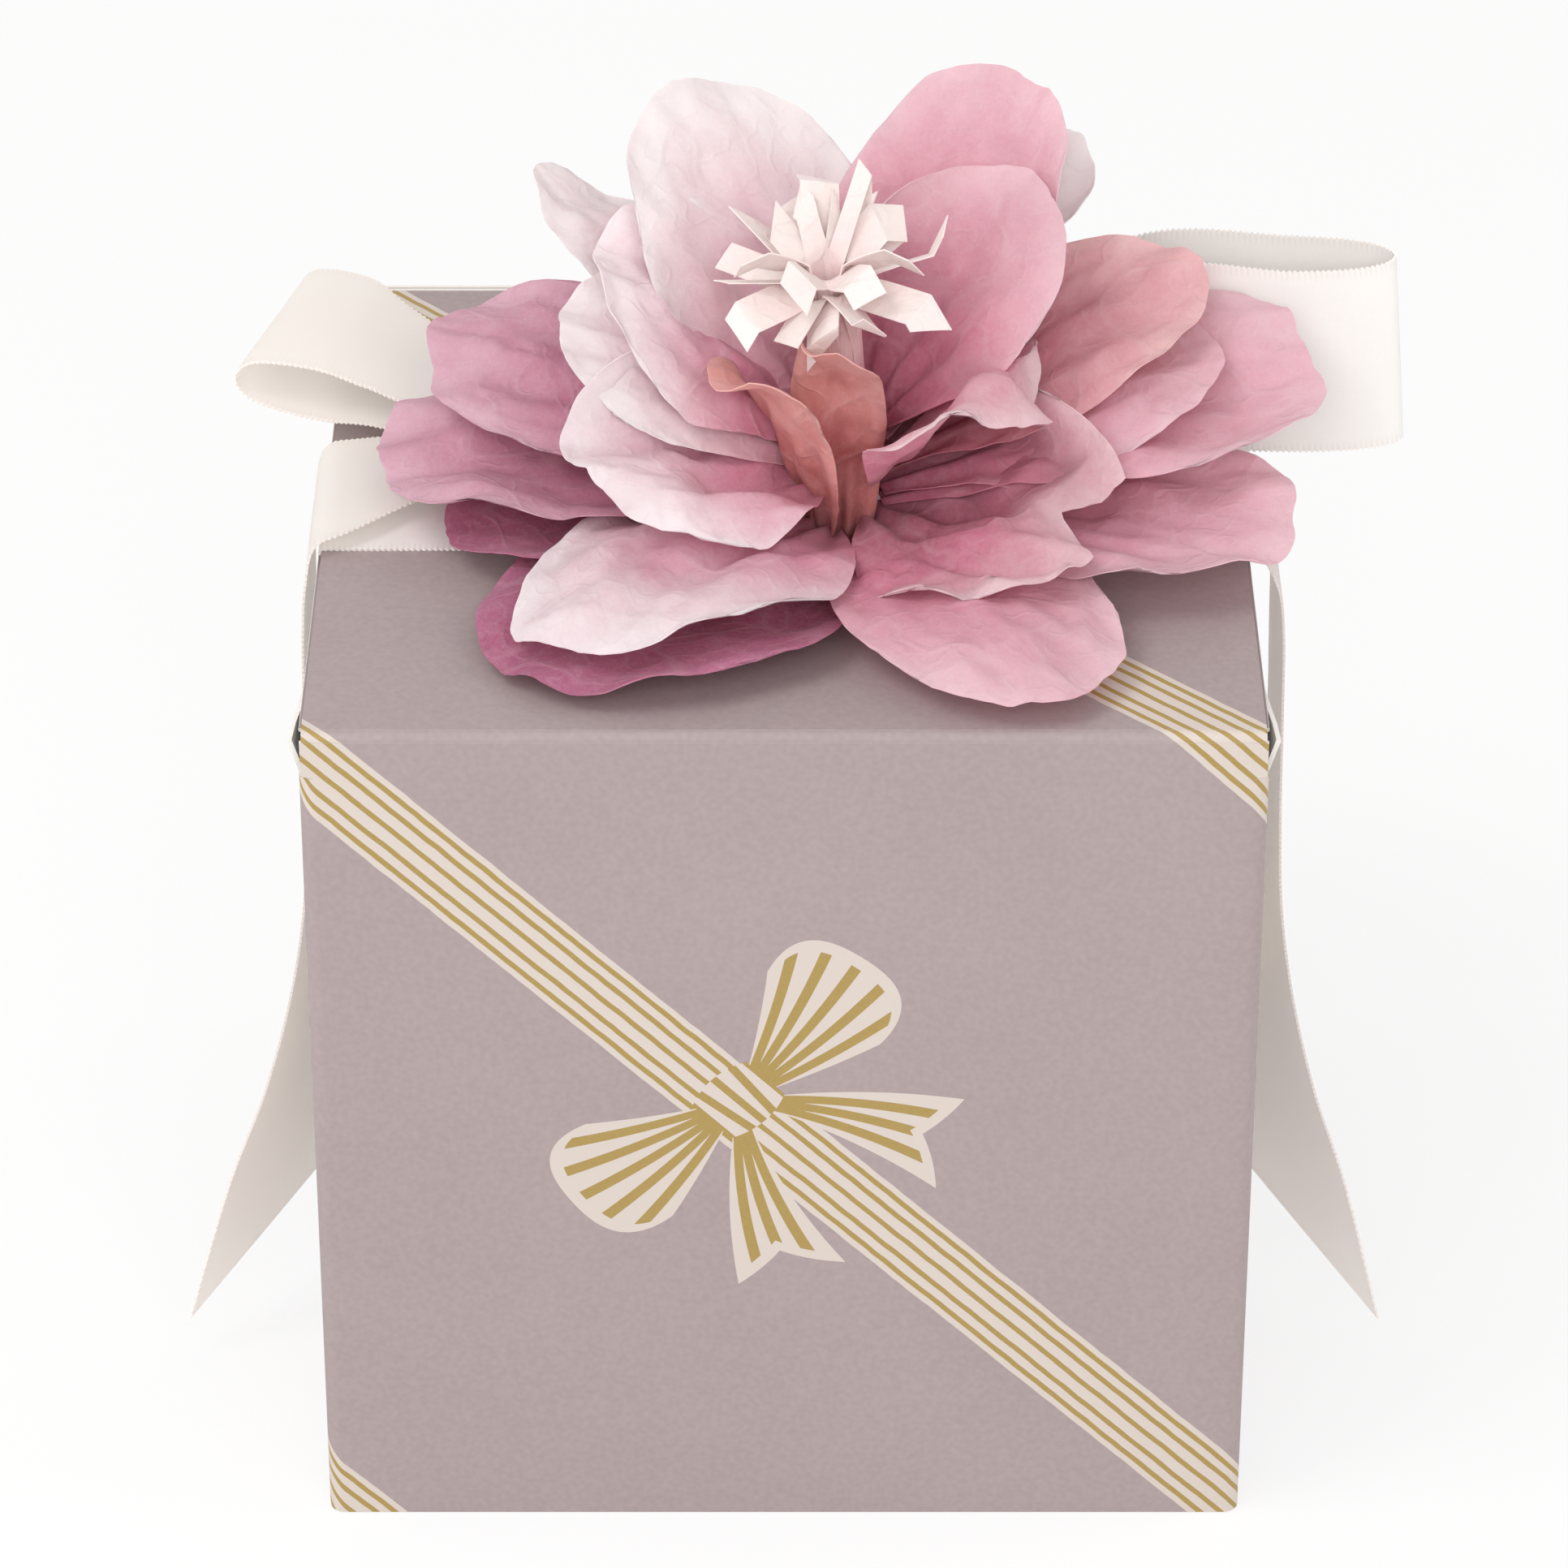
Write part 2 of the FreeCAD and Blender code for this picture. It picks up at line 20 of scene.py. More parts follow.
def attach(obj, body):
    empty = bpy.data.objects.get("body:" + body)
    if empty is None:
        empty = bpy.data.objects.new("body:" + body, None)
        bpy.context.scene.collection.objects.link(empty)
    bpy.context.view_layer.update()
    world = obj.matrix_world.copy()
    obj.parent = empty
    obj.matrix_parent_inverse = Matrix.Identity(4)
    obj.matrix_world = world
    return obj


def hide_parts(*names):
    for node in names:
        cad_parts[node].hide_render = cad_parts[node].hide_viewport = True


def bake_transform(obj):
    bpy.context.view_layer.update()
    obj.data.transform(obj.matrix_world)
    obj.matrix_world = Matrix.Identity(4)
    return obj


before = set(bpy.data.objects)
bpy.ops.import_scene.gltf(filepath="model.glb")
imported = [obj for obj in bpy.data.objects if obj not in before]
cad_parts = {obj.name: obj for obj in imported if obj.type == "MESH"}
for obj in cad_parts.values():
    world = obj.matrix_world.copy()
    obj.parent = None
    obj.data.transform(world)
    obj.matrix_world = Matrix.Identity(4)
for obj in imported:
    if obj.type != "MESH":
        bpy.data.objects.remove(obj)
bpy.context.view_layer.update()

log = logging.getLogger("flower_gift_box")

MM = 0.001
PRINT_MAP = "print"
HAIR = 1e-6
LINE_STEPS = 24
CREASES = 4
CREASE_TURN = 2.4
Colour = tuple[float, float, float]
BLACK: Colour = (0.0, 0.0, 0.0)
WHITE: Colour = (1.0, 1.0, 1.0)


def linear(level: int) -> float:
    """Linear light of an 8-bit display level."""
    share = level / 255
    return share / 12.92 if share <= 0.04045 else ((share + 0.055) / 1.055) ** 2.4


def srgb(red: int, green: int, blue: int) -> Colour:
    """Linear colour of an 8-bit display colour."""
    return linear(red), linear(green), linear(blue)


def opaque(colour: Colour) -> tuple[float, float, float, float]:
    """The colour with full opacity, as colour sockets take it."""
    return (*colour, 1.0)


# Shader expressions


class Signal:
    """A shader socket that takes part in Python expressions."""

    def __init__(self, graph: "Graph", socket: bpy.types.NodeSocket) -> None:
        """Wraps a socket of a graph."""
        self.graph = graph
        self.socket = socket

    def __add__(self, other: Any) -> "Signal":
        """Sum."""
        return self.graph.combine("ADD", self, other)

    def __radd__(self, other: Any) -> "Signal":
        """Sum with a number first."""
        return self.graph.combine("ADD", other, self)

    def __sub__(self, other: Any) -> "Signal":
        """Difference."""
        return self.graph.combine("SUBTRACT", self, other)

    def __rsub__(self, other: Any) -> "Signal":
        """Difference with a number first."""
        return self.graph.combine("SUBTRACT", other, self)

    def __mul__(self, other: Any) -> "Signal":
        """Product."""
        return self.graph.combine("MULTIPLY", self, other)

    def __rmul__(self, other: Any) -> "Signal":
        """Product with a number first."""
        return self.graph.combine("MULTIPLY", other, self)

    def __truediv__(self, other: Any) -> "Signal":
        """Quotient."""
        return self.graph.combine("DIVIDE", self, other)

    def __rtruediv__(self, other: Any) -> "Signal":
        """Quotient with a number first."""
        return self.graph.combine("DIVIDE", other, self)

    def __abs__(self) -> "Signal":
        """Size without sign."""
        return self.graph.math("ABSOLUTE", self)

    def __lt__(self, other: Any) -> "Signal":
        """1 where this is less."""
        return self.graph.math("LESS_THAN", self, other)

    def __gt__(self, other: Any) -> "Signal":
        """1 where this is more."""
        return self.graph.math("GREATER_THAN", self, other)

    def __or__(self, other: Any) -> "Signal":
        """The larger of two masks."""
        return self.graph.math("MAXIMUM", self, other)

    def __and__(self, other: Any) -> "Signal":
        """The smaller of two masks."""
        return self.graph.math("MINIMUM", self, other)


class Graph:
    """A node tree that expressions fill."""

    def __init__(self, tree: bpy.types.NodeTree) -> None:
        """Empties a tree and takes it over."""
        self.tree = tree
        tree.nodes.clear()

    def add(
        self,
        kind: str,
        settings: Mapping[str, Any] | None = None,
        inputs: Mapping[Any, Any] | None = None,
        output: Any = 0,
    ) -> Signal:
        """Adds one node.

        Args:
            kind: Blender's name of the node type.
            settings: Properties of the node, set first; "stops" fills a colour ramp.
            inputs: Values or signals of its sockets, by name or number.
            output: Name or number of the socket to hand back.

        Returns:
            The chosen output.
        """
        node = self.tree.nodes.new(kind)
        for key, value in (settings or {}).items():
            if key == "stops":
                self._set_stops(node.color_ramp, value)
            else:
                setattr(node, key, value)
        for key, value in (inputs or {}).items():
            if isinstance(value, Signal):
                self.tree.links.new(value.socket, node.inputs[key])
            else:
                node.inputs[key].default_value = value
        return Signal(self, node.outputs[output] if len(node.outputs) else None)

    @staticmethod
    def _set_stops(ramp: bpy.types.ColorRamp, stops: Sequence[tuple[float, Colour]]) -> None:
        """Gives a ramp its stops."""
        while len(ramp.elements) < len(stops):
            ramp.elements.new(0.5)
        for element, (place, colour) in zip(ramp.elements, stops):
            element.position = place
            element.color = opaque(colour)

    def math(self, operation: str, *values: Any) -> Signal:
        """A Math node on numbers or value signals."""
        return self.add("ShaderNodeMath", {"operation": operation}, dict(enumerate(values)))

    def combine(self, operation: str, first: Any, second: Any) -> Signal:
        """An arithmetic node that suits what it combines: values, colours or vectors."""
        kinds = {v.socket.type for v in (first, second) if isinstance(v, Signal)}
        if "VECTOR" in kinds:
            settings = {"operation": operation}
            pair = [v if isinstance(v, (Signal, tuple)) else (v, v, v) for v in (first, second)]
            return self.add("ShaderNodeVectorMath", settings, dict(enumerate(pair)))
        if "RGBA" in kinds:
            return self.mix(1.0, first, second, operation)
        return self.math(operation, first, second)

    def mix(self, share: Any, first: Any, second: Any, blend: str = "MIX") -> Signal:
        """A mix of two colours.

        Args:
            share: Share of the second colour.
            first: A colour or a colour signal.
            second: A colour or a colour signal.
            blend: Blender's name of the way to mix.

        Returns:
            The mixed colour.
        """
        pair = [opaque(v) if isinstance(v, tuple) else v for v in (first, second)]
        settings = {"data_type": "RGBA", "blend_type": blend}
        return self.add("ShaderNodeMix", settings, {0: share, 6: pair[0], 7: pair[1]}, 2)

    def clouds(self, place: Signal, scale: float, detail: float = 2.0, rough: float = 0.5) -> Signal:
        """Soft noise from 0 to 1 about a place."""
        inputs = {"Vector": place, "Scale": scale, "Detail": detail, "Roughness": rough}
        return self.add("ShaderNodeTexNoise", None, inputs, "Fac")

    def attribute(self, name: str) -> Signal:
        """A number that the mesh keeps at each point."""
        return self.add("ShaderNodeAttribute", {"attribute_name": name}, None, "Fac")

    def place(self) -> Signal:
        """Place on the piece, in its own frame."""
        return self.add("ShaderNodeTexCoord", None, None, "Object")

    def split(self, vector: Signal) -> tuple[Signal, Signal, Signal]:
        """The three parts of a vector."""
        first = self.add("ShaderNodeSeparateXYZ", None, {0: vector})
        outputs = first.socket.node.outputs
        return first, Signal(self, outputs[1]), Signal(self, outputs[2])

    def seen(self) -> Signal:
        """1 on rays that show the surround: seen straight, mirrored or through glass."""
        first = self.add("ShaderNodeLightPath", None, None, "Is Camera Ray")
        outputs = first.socket.node.outputs
        glossy, through = (Signal(self, outputs[f"Is {kind} Ray"]) for kind in ("Glossy", "Transmission"))
        return first | glossy | through

    def bump(self, height: Signal, depth: float, strength: float) -> Signal:
        """A normal that follows a height."""
        inputs = {"Height": height, "Distance": depth, "Strength": strength}
        return self.add("ShaderNodeBump", None, inputs)

    def principled(self, inputs: Mapping[str, Any]) -> Signal:
        """A Principled shader with these inputs."""
        return self.add("ShaderNodeBsdfPrincipled", None, inputs)

    def thin(self, shader: Signal, colour: Colour, share: float) -> Signal:
        """A shader that lets light through.

        Args:
            shader: Shader of the lit side.
            colour: Colour of the light that comes through.
            share: Share of that light.

        Returns:
            The mixed shader.
        """
        through = self.add("ShaderNodeBsdfTranslucent", None, {"Color": opaque(colour)})
        return self.add("ShaderNodeMixShader", None, {0: share, 1: shader, 2: through})

    def first(self, colour: Signal) -> Signal:
        """The first part of a colour, for masks that were mixed as colours."""
        return self.add("ShaderNodeSeparateColor", None, {0: colour}, 0)


class Finish:
    """What a surface is made of; each kind gives its shader."""

    def shader(self, g: Graph) -> Signal:
        """The finish's shader in a graph."""
        raise NotImplementedError

    def material(self, name: str) -> bpy.types.Material:
        """The finish as a material.

        Args:
            name: Name of the material.

        Returns:
            The material.
        """
        made = bpy.data.materials.new(name)
        made.use_nodes = True
        g = Graph(made.node_tree)
        g.add("ShaderNodeOutputMaterial", None, {"Surface": self.shader(g)})
        return made


# Finishes


@dataclass(frozen=True)
class PlainBoard(Finish):
    """Unprinted white side and cut edge of the board."""

    colour: Colour = srgb(236, 231, 226)
    grain: float = 2200.0
    roughness: float = 0.72
    relief: float = 0.04 * MM

    def shader(self, g: Graph) -> Signal:
        """White board with a fine grain."""
        specks = g.clouds(g.place(), self.grain, 3.0)
        tone = 0.93 + 0.1 * specks
        return g.principled(
            {
                "Base Color": g.mix(tone & 1.0, BLACK, self.colour),
                "Roughness": self.roughness + 0.1 * specks,
                "Normal": g.bump(specks, self.relief, 0.5),
            }
        )


@dataclass(frozen=True)
class FlapBoard(Finish):
    """Board of a flap: printed ground on one side, white on the other and on the edges."""

    ground: Colour
    inside: Colour
    outward: tuple[float, float, float]
    shade: Colour = (0.2, 0.17, 0.17)
    grain: float = 2400.0
    roughness: float = 0.62
    relief: float = 0.04 * MM
    facing_from: float = 0.6

    def shader(self, g: Graph) -> Signal:
        """Ground where the face looks outward, white elsewhere."""
        specks = g.clouds(g.place(), self.grain, 3.0)
        normal = g.add("ShaderNodeTexCoord", None, None, "Normal")
        dot = {"operation": "DOT_PRODUCT"}
        facing = g.add("ShaderNodeVectorMath", dot, {0: normal, 1: self.outward}, 1)
        colour = g.mix(facing > self.facing_from, self.inside, self.ground)
        return g.principled(
            {
                "Base Color": g.mix(0.16 * specks, colour, self.shade),
                "Roughness": self.roughness + 0.12 * specks,
                "Normal": g.bump(specks, self.relief, 0.5),
            }
        )


@dataclass(frozen=True)
class PrintedBow:
    """The printed bow: two striped loops, two striped tails and a knot, in millimetres.

    Angles are in radians. Stripes are placed by shares of a fan's half angle.
    """

    loop_reach: float = 25.5
    loop_half: float = 0.47
    loop_tilt: float = 0.1
    loop_curl: float = 0.004
    loop_shoulder: float = 6.5
    loop_stripes: tuple[float, ...] = (-0.74, -0.37, 0.0, 0.37, 0.74)
    tail_reach: float = 27.0
    tail_half: float = 0.25
    tail_turn: float = 0.62
    tail_curl: float = 0.006
    tail_notch: float = 4.0
    tail_flare: float = 4.5
    tail_stripes: tuple[float, ...] = (-0.55, 0.0, 0.55)
    stripe: float = 0.62
    stripe_inset: float = 1.6
    stripe_from: float = 4.5
    knot_half: tuple[float, float] = (4.6, 4.4)
    knot_rib: float = 2.3

    def _fan(
        self,
        turn: Signal,
        reach: Signal,
        half: float,
        rim: Signal,
        stripes: Sequence[float],
    ) -> tuple[Signal, Signal]:
        """One fan of the printed bow.

        Args:
            turn: Angle from the fan's middle line.
            reach: Distance from the knot.
            half: Half of the fan's angle.
            rim: Distance from the knot to the fan's outer edge.
            stripes: Places of the gold stripes as shares of the half angle.

        Returns:
            Mask of the fan and mask of its gold stripes.
        """
        inside = (abs(turn) < half) & (reach < rim)
        wide = self.stripe * (0.75 + reach / 60.0)
        gold = reduce(or_, [abs(turn - share * half) * reach < wide for share in stripes])
        ends = (reach < rim - self.stripe_inset) & (reach > self.stripe_from)
        return inside, gold & inside & ends

    def masks(self, g: Graph, x: Signal, y: Signal) -> tuple[Signal, Signal]:
        """The bow's masks.

        Args:
            g: The material's graph.
            x: Place right of the knot.
            y: Place below it.

        Returns:
            Mask of the bow and mask of its gold stripes.
        """
        along = (x + y) * math.sqrt(0.5)
        aside = abs((x - y) * math.sqrt(0.5))
        reach = g.math("SQRT", along * along + aside * aside)
        turn = g.math("ARCTAN2", along, aside)
        loop_turn = turn + self.loop_tilt + self.loop_curl * (reach - 12.0)
        share = loop_turn / self.loop_half
        loop_rim = self.loop_reach - self.loop_shoulder * share * share * share * share
        loop, loop_gold = self._fan(loop_turn, reach, self.loop_half, loop_rim, self.loop_stripes)
        tail_turn = math.pi / 2 - turn - self.tail_turn + self.tail_curl * (reach - 14.0)
        flare = self.tail_flare * abs(tail_turn / self.tail_half)
        tail_rim = self.tail_reach - self.tail_notch + flare
        tail, tail_gold = self._fan(tail_turn, reach, self.tail_half, tail_rim, self.tail_stripes)
        wide, high = self.knot_half
        knot = (abs(along) < high - 0.05 * aside * aside) & (aside < wide)
        ribs = abs(abs(aside + 0.12 * along) - self.knot_rib) < 0.55
        knot_gold = (ribs | (aside < 0.5) | (aside > wide - 0.5)) & knot
        gold = g.mix(knot, g.mix(loop, tail_gold, loop_gold), knot_gold)
        return loop | tail | knot, g.first(gold)


@dataclass(frozen=True)
class PrintedBoard(Finish):
    """Matt board printed with diagonal bands of gold lines and one striped bow.

    The print map gives a face's place from left to right and from top to bottom as shares
    of its sides. A band runs wherever their difference is a multiple of the period.
    """

    ground: Colour = srgb(153, 138, 139)
    shade: Colour = srgb(120, 106, 108)
    fleck: Colour = srgb(205, 190, 188)
    bloom: Colour = srgb(205, 190, 186)
    cream: Colour = srgb(206, 195, 187)
    cream_shade: Colour = (0.55, 0.48, 0.44)
    gold: Colour = srgb(171, 145, 84)
    gold_shade: Colour = srgb(120, 98, 48)
    side: float = 115.0
    period: float = 0.95
    half_band: float = 0.06
    lines: tuple[float, ...] = (-0.77, -0.41, 0.02, 0.43, 0.77)
    half_line: float = 0.07
    bow: PrintedBow = PrintedBow()
    bow_at: tuple[float, float] = (0.4635, 0.452)
    front_from: float = 0.026
    front_share: float = 0.968
    lid_from: float = 0.01
    lid_turn: float = 0.035
    lid_skew: float = 0.031
    grain: float = 2600.0
    flecks: float = 1300.0
    blooms: float = 45.0
    waver: float = 320.0
    roughness: float = 0.56
    relief: float = 0.03 * MM

    def on_front(self, share: float) -> float:
        """Place on the print at a share of the front's width."""
        return self.front_from + self.front_share * share

    def on_lid(self, right: float, down: float) -> tuple[float, float]:
        """Place on the print at shares of the lid's width and depth."""
        lag = self.lid_from + (self.lid_turn + self.lid_skew * (1 - right)) * down
        return 10 * self.period + right + lag, down

    def shader(self, g: Graph) -> Signal:
        """Mottled ground, cream bands and bow, and gold lines."""
        place = g.place()
        fine = g.clouds(place, self.grain, 3.0, 0.6)
        across, down, _ = g.split(g.add("ShaderNodeUVMap", {"uv_map": PRINT_MAP}))
        wander = (g.clouds(place, self.waver, 1.0) - 0.5) * 0.05
        slant = across - down
        turns = g.math("ROUND", slant / self.period)
        near = (slant - turns * self.period) / self.half_band + wander
        band = abs(near) < 1.0
        lines = reduce(or_, [abs(near - centre) < self.half_line for centre in self.lines])
        x = (across - self.bow_at[0]) * (self.side / self.front_share)
        y = (down - self.bow_at[1]) * self.side
        bow, bow_gold = self.bow.masks(g, x, y)
        cream = band | bow
        gold = g.first(g.mix(bow, lines & band, bow_gold))
        mottled = g.mix(0.26 * fine, self.ground, self.shade)
        mottled = g.mix(0.3 * g.clouds(place, self.flecks), mottled, self.fleck)
        mottled = g.mix(0.12 * g.clouds(place, self.blooms), mottled, self.bloom)
        ink = g.mix(0.1 * fine, self.cream, self.cream_shade)
        gilt = g.mix(0.3 * fine, self.gold, self.gold_shade)
        return g.principled(
            {
                "Base Color": g.mix(gold, g.mix(cream, mottled, ink), gilt),
                "Roughness": self.roughness + 0.12 * fine - 0.1 * gold,
                "Specular IOR Level": 0.35,
                "Normal": g.bump(fine + 0.4 * cream, self.relief, 0.35),
            }
        )


@dataclass(frozen=True)
class SatinRibbon(Finish):
    """Ivory satin with fine threads along its length and a ribbed edge."""

    colour: Colour = srgb(253, 250, 247)
    shade: Colour = srgb(236, 229, 223)
    through: float = 0.12
    threads: float = 260.0
    ribs: float = 1400.0
    weave: float = 1800.0
    edge_from: float = 0.44
    edge_slope: float = 18.0
    roughness: float = 0.34
    relief: float = 0.03 * MM

    def shader(self, g: Graph) -> Signal:
        """Threads in the middle and ribs along the edges."""
        across, along, _ = g.split(g.add("ShaderNodeUVMap", {"uv_map": PRINT_MAP}))
        edge = (abs(across - 0.5) - self.edge_from) * self.edge_slope
        edge = (edge | 0.0) & 1.0
        thread = g.math("SINE", across * self.threads * 2 * math.pi)
        rib = g.math("SINE", along * self.ribs * 2 * math.pi)
        weave = g.clouds(g.place(), self.weave)
        colour = g.mix(0.2 * weave, self.colour, self.shade)
        colour = g.mix(edge * (0.25 + 0.25 * rib), colour, self.shade)
        height = 0.3 * thread + 0.9 * edge * rib + 0.4 * weave
        shader = g.principled(
            {
                "Base Color": colour,
                "Roughness": self.roughness + 0.12 * weave + 0.2 * edge,
                "Specular IOR Level": 0.4,
                "Anisotropic": 0.4,
                "Normal": g.bump(height, self.relief, 0.5),
            }
        )
        return g.thin(shader, self.colour, self.through)


@dataclass(frozen=True)
class DippedTissue(Finish):
    """Crumpled tissue paper, dyed at the root and pale towards the rim, with painted shade in its folds."""

    root: Colour
    belly: Colour
    rim: Colour
    reach: float = 0.5
    softness: float = 0.35
    through: float = 0.38
    # Dark tone for random fibre flecks and for the painted shade in the folds.
    fleck_and_fold_shade: Colour = (0.25, 0.03, 0.09)
    bleach: Colour = (1.0, 0.95, 0.95)
    crease_line: Colour = (0.92, 0.8, 0.82)
    blots: float = 160.0
    fibres: float = 1500.0
    specks: float = 3800.0
    long_creases: float = 95.0
    short_creases: float = 260.0
    roughness: float = 0.6
    relief: float = 0.12 * MM

    def _blend(self, share: float) -> Colour:
        """A colour between the belly's and the rim's."""
        return tuple((1 - share) * a + share * b for a, b in zip(self.belly, self.rim))

    def shader(self, g: Graph) -> Signal:
        """Dye that fades to the rim, over fibres and creases, with painted shade in the folds."""
        place = g.place()
        cloud = g.clouds(place, self.blots, 3.0, 0.6)
        fibre = g.clouds(place, self.fibres, 3.0, 0.65)
        speck = g.clouds(place, self.specks, 1.0)
        long_crease = abs(g.clouds(place, self.long_creases, 1.0, 0.4) - 0.5) * 26.0 & 1.0
        short_crease = abs(g.clouds(place, self.short_creases, 1.0, 0.4) - 0.5) * 14.0 & 1.0
        crease = 1 - long_crease * (0.4 + 0.6 * short_crease)
        dye = g.attribute("dye") + 0.3 * (cloud - 0.5) + 0.08 * (fibre - 0.5)
        stops = [
            (0.02, self.root),
            (max(0.1, self.reach - self.softness), self.belly),
            (self.reach, self._blend(0.5)),
            (min(0.98, self.reach + self.softness), self.rim),
        ]
        colour = g.add("ShaderNodeValToRGB", {"stops": stops}, {0: dye})
        # Painted shade tone, used below for the folds and for random dark fibres.
        fleck_and_fold_shade_tone = g.mix(0.45, colour, self.fleck_and_fold_shade, "MULTIPLY")
        # Painted shade, deeper where the point lies deeper in a fold.
        colour = g.mix(0.36 * g.attribute("fold"), colour, fleck_and_fold_shade_tone)
        colour = g.mix(0.4 * (fibre * speck), colour, self.bleach)
        colour = g.mix(0.24 * (1 - fibre) * (1 - speck), colour, fleck_and_fold_shade_tone)
        colour = g.mix(0.12 * crease, colour, self.crease_line)
        shader = g.principled(
            {
                "Base Color": colour,
                "Roughness": self.roughness + 0.2 * fibre,
                "Specular IOR Level": 0.25,
                "Sheen Weight": 0.08,
                "Normal": g.bump(fibre + 0.6 * cloud + 1.8 * crease, self.relief, 0.6),
            }
        )
        return g.thin(shader, self._blend(0.8), self.through)


@dataclass(frozen=True)
class WrappedWire(Finish):
    """Thin wire wrapped in dull green paper tape."""

    colour: Colour = srgb(112, 124, 88)
    shade: Colour = srgb(70, 82, 52)
    turns: float = 260.0
    fibres: float = 1900.0
    roughness: float = 0.6
    relief: float = 0.06 * MM

    def shader(self, g: Graph) -> Signal:
        """Slanting turns of paper tape."""
        place = g.place()
        slanting = {"bands_direction": "DIAGONAL"}
        inputs = {"Vector": place, "Scale": self.turns, "Distortion": 1.5}
        wrap = g.add("ShaderNodeTexWave", slanting, inputs, "Fac")
        fibre = g.clouds(place, self.fibres)
        return g.principled(
            {
                "Base Color": g.mix(0.5 * wrap * fibre, self.colour, self.shade),
                "Roughness": self.roughness + 0.2 * fibre,
                "Normal": g.bump(wrap + 0.4 * fibre, self.relief, 0.6),
            }
        )


@dataclass(frozen=True)
class PaleFloor(Finish):
    """Matt floor that glows towards the camera, so that only shadows show on it."""

    colour: Colour = (0.9, 0.9, 0.9)
    glow: float = 0.75

    def shader(self, g: Graph) -> Signal:
        """Matt white under a white glow."""
        matt = g.add("ShaderNodeBsdfDiffuse", None, {0: opaque(self.colour)})
        glow = g.add("ShaderNodeEmission", None, {0: opaque(WHITE), 1: 1.0})
        return g.add("ShaderNodeMixShader", None, {0: self.glow * g.seen(), 1: matt, 2: glow})


# Meshes


@dataclass
class SheetMesh:
    """A grid of points thickened to a closed sheet.

    The outer side, the inner side and the cut edge each have their own material number.
    """

    points: np.ndarray
    thickness: float
    flat_map: np.ndarray | None = None
    values: dict[str, np.ndarray] = field(default_factory=dict)
    outer_first: bool = True

    def normals(self) -> np.ndarray:
        """Unit normals of the grid at its points."""
        rows = np.gradient(self.points, axis=0)
        cols = np.gradient(self.points, axis=1)
        found = np.cross(rows, cols)
        length = np.linalg.norm(found, axis=2, keepdims=True)
        return found / np.maximum(length, 1e-12)

    def layers(self) -> tuple[np.ndarray, list[tuple[int, ...]], list[int]]:
        """The closed sheet.

        Returns:
            Its points, its faces and each face's material number.
        """
        rows, cols, _ = self.points.shape
        shift = self.normals() * (self.thickness / 2)
        both = np.concatenate([(self.points + shift).reshape(-1, 3), (self.points - shift).reshape(-1, 3)])
        half = rows * cols
        at = np.arange(half).reshape(rows, cols).tolist()
        faces: list[tuple[int, ...]] = []
        kinds: list[int] = []
        for r in range(rows - 1):
            for c in range(cols - 1):
                quad = (at[r][c], at[r + 1][c], at[r + 1][c + 1], at[r][c + 1])
                faces.append(quad)
                faces.append(tuple(half + i for i in reversed(quad)))
                kinds += [0, 1] if self.outer_first else [1, 0]
        rim = [row[0] for row in at] + at[-1][1:]
        rim += [row[-1] for row in reversed(at[:-1])] + at[0][-2:0:-1]
        for one, two in zip(rim, rim[1:] + rim[:1]):
            faces.append((two, one, half + one, half + two))
            kinds.append(2)
        return both, faces, kinds


class Piece:
    """A named piece made of one or more sheets."""

    def __init__(self, name: str, sheets: Sequence[SheetMesh], sharp: float = 50.0) -> None:
        """Joins sheets to one mesh object.

        Args:
            name: Name of the piece.
            sheets: The sheets.
            sharp: Angle in degrees beyond which an edge is shaded sharp.
        """
        points: list[np.ndarray] = []
        faces: list[tuple[int, ...]] = []
        kinds: list[int] = []
        count = 0
        for sheet in sheets:
            own, own_faces, own_kinds = sheet.layers()
            points.append(own)
            faces += [tuple(count + i for i in face) for face in own_faces]
            kinds += own_kinds
            count += len(own)
        mesh = bpy.data.meshes.new(name)
        mesh.from_pydata(np.concatenate(points).tolist(), [], faces)
        mesh.polygons.foreach_set("material_index", kinds)
        mesh.polygons.foreach_set("use_smooth", [True] * len(faces))
        self._map(mesh, sheets)
        self._values(mesh, sheets)
        mesh.update()
        mesh.set_sharp_from_angle(angle=math.radians(sharp))
        self.object = bpy.data.objects.new(name, mesh)
        bpy.context.scene.collection.objects.link(self.object)

    @staticmethod
    def _map(mesh: bpy.types.Mesh, sheets: Sequence[SheetMesh]) -> None:
        """Writes the sheets' flat places to the print map."""
        if any(s.flat_map is None for s in sheets):
            return
        both = [np.concatenate([s.flat_map.reshape(-1, 2)] * 2) for s in sheets]
        places = np.concatenate(both)
        layer = mesh.uv_layers.new(name=PRINT_MAP)
        corners = np.zeros(len(mesh.loops), np.int32)
        mesh.loops.foreach_get("vertex_index", corners)
        layer.data.foreach_set("uv", places[corners].astype(np.float32).ravel())

    @staticmethod
    def _values(mesh: bpy.types.Mesh, sheets: Sequence[SheetMesh]) -> None:
        """Writes the sheets' numbers to point attributes."""
        for key in sheets[0].values:
            both = [np.concatenate([s.values[key].ravel()] * 2) for s in sheets]
            made = mesh.attributes.new(key, "FLOAT", "POINT")
            made.data.foreach_set("value", np.concatenate(both).astype(np.float32))

    def dress(self, *materials: bpy.types.Material) -> "Piece":
        """Gives the outer side, the inner side and the edge their materials.

        Args:
            materials: One material for all, or one for each kind of face.

        Returns:
            The piece.
        """
        for index in range(3):
            self.object.data.materials.append(materials[min(index, len(materials) - 1)])
        return self

    def stands_for(self, slot: str, *nodes: str) -> "Piece":
        """Hides the plain solids that the piece stands for.

        Args:
            slot: The record's material slot; not used.
            nodes: Names of the solids.

        Returns:
            The piece.
        """
        if nodes:
            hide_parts(*nodes)
        log.info("%s stands for %s", self.object.name, ", ".join(nodes) or "no solid")
        return self


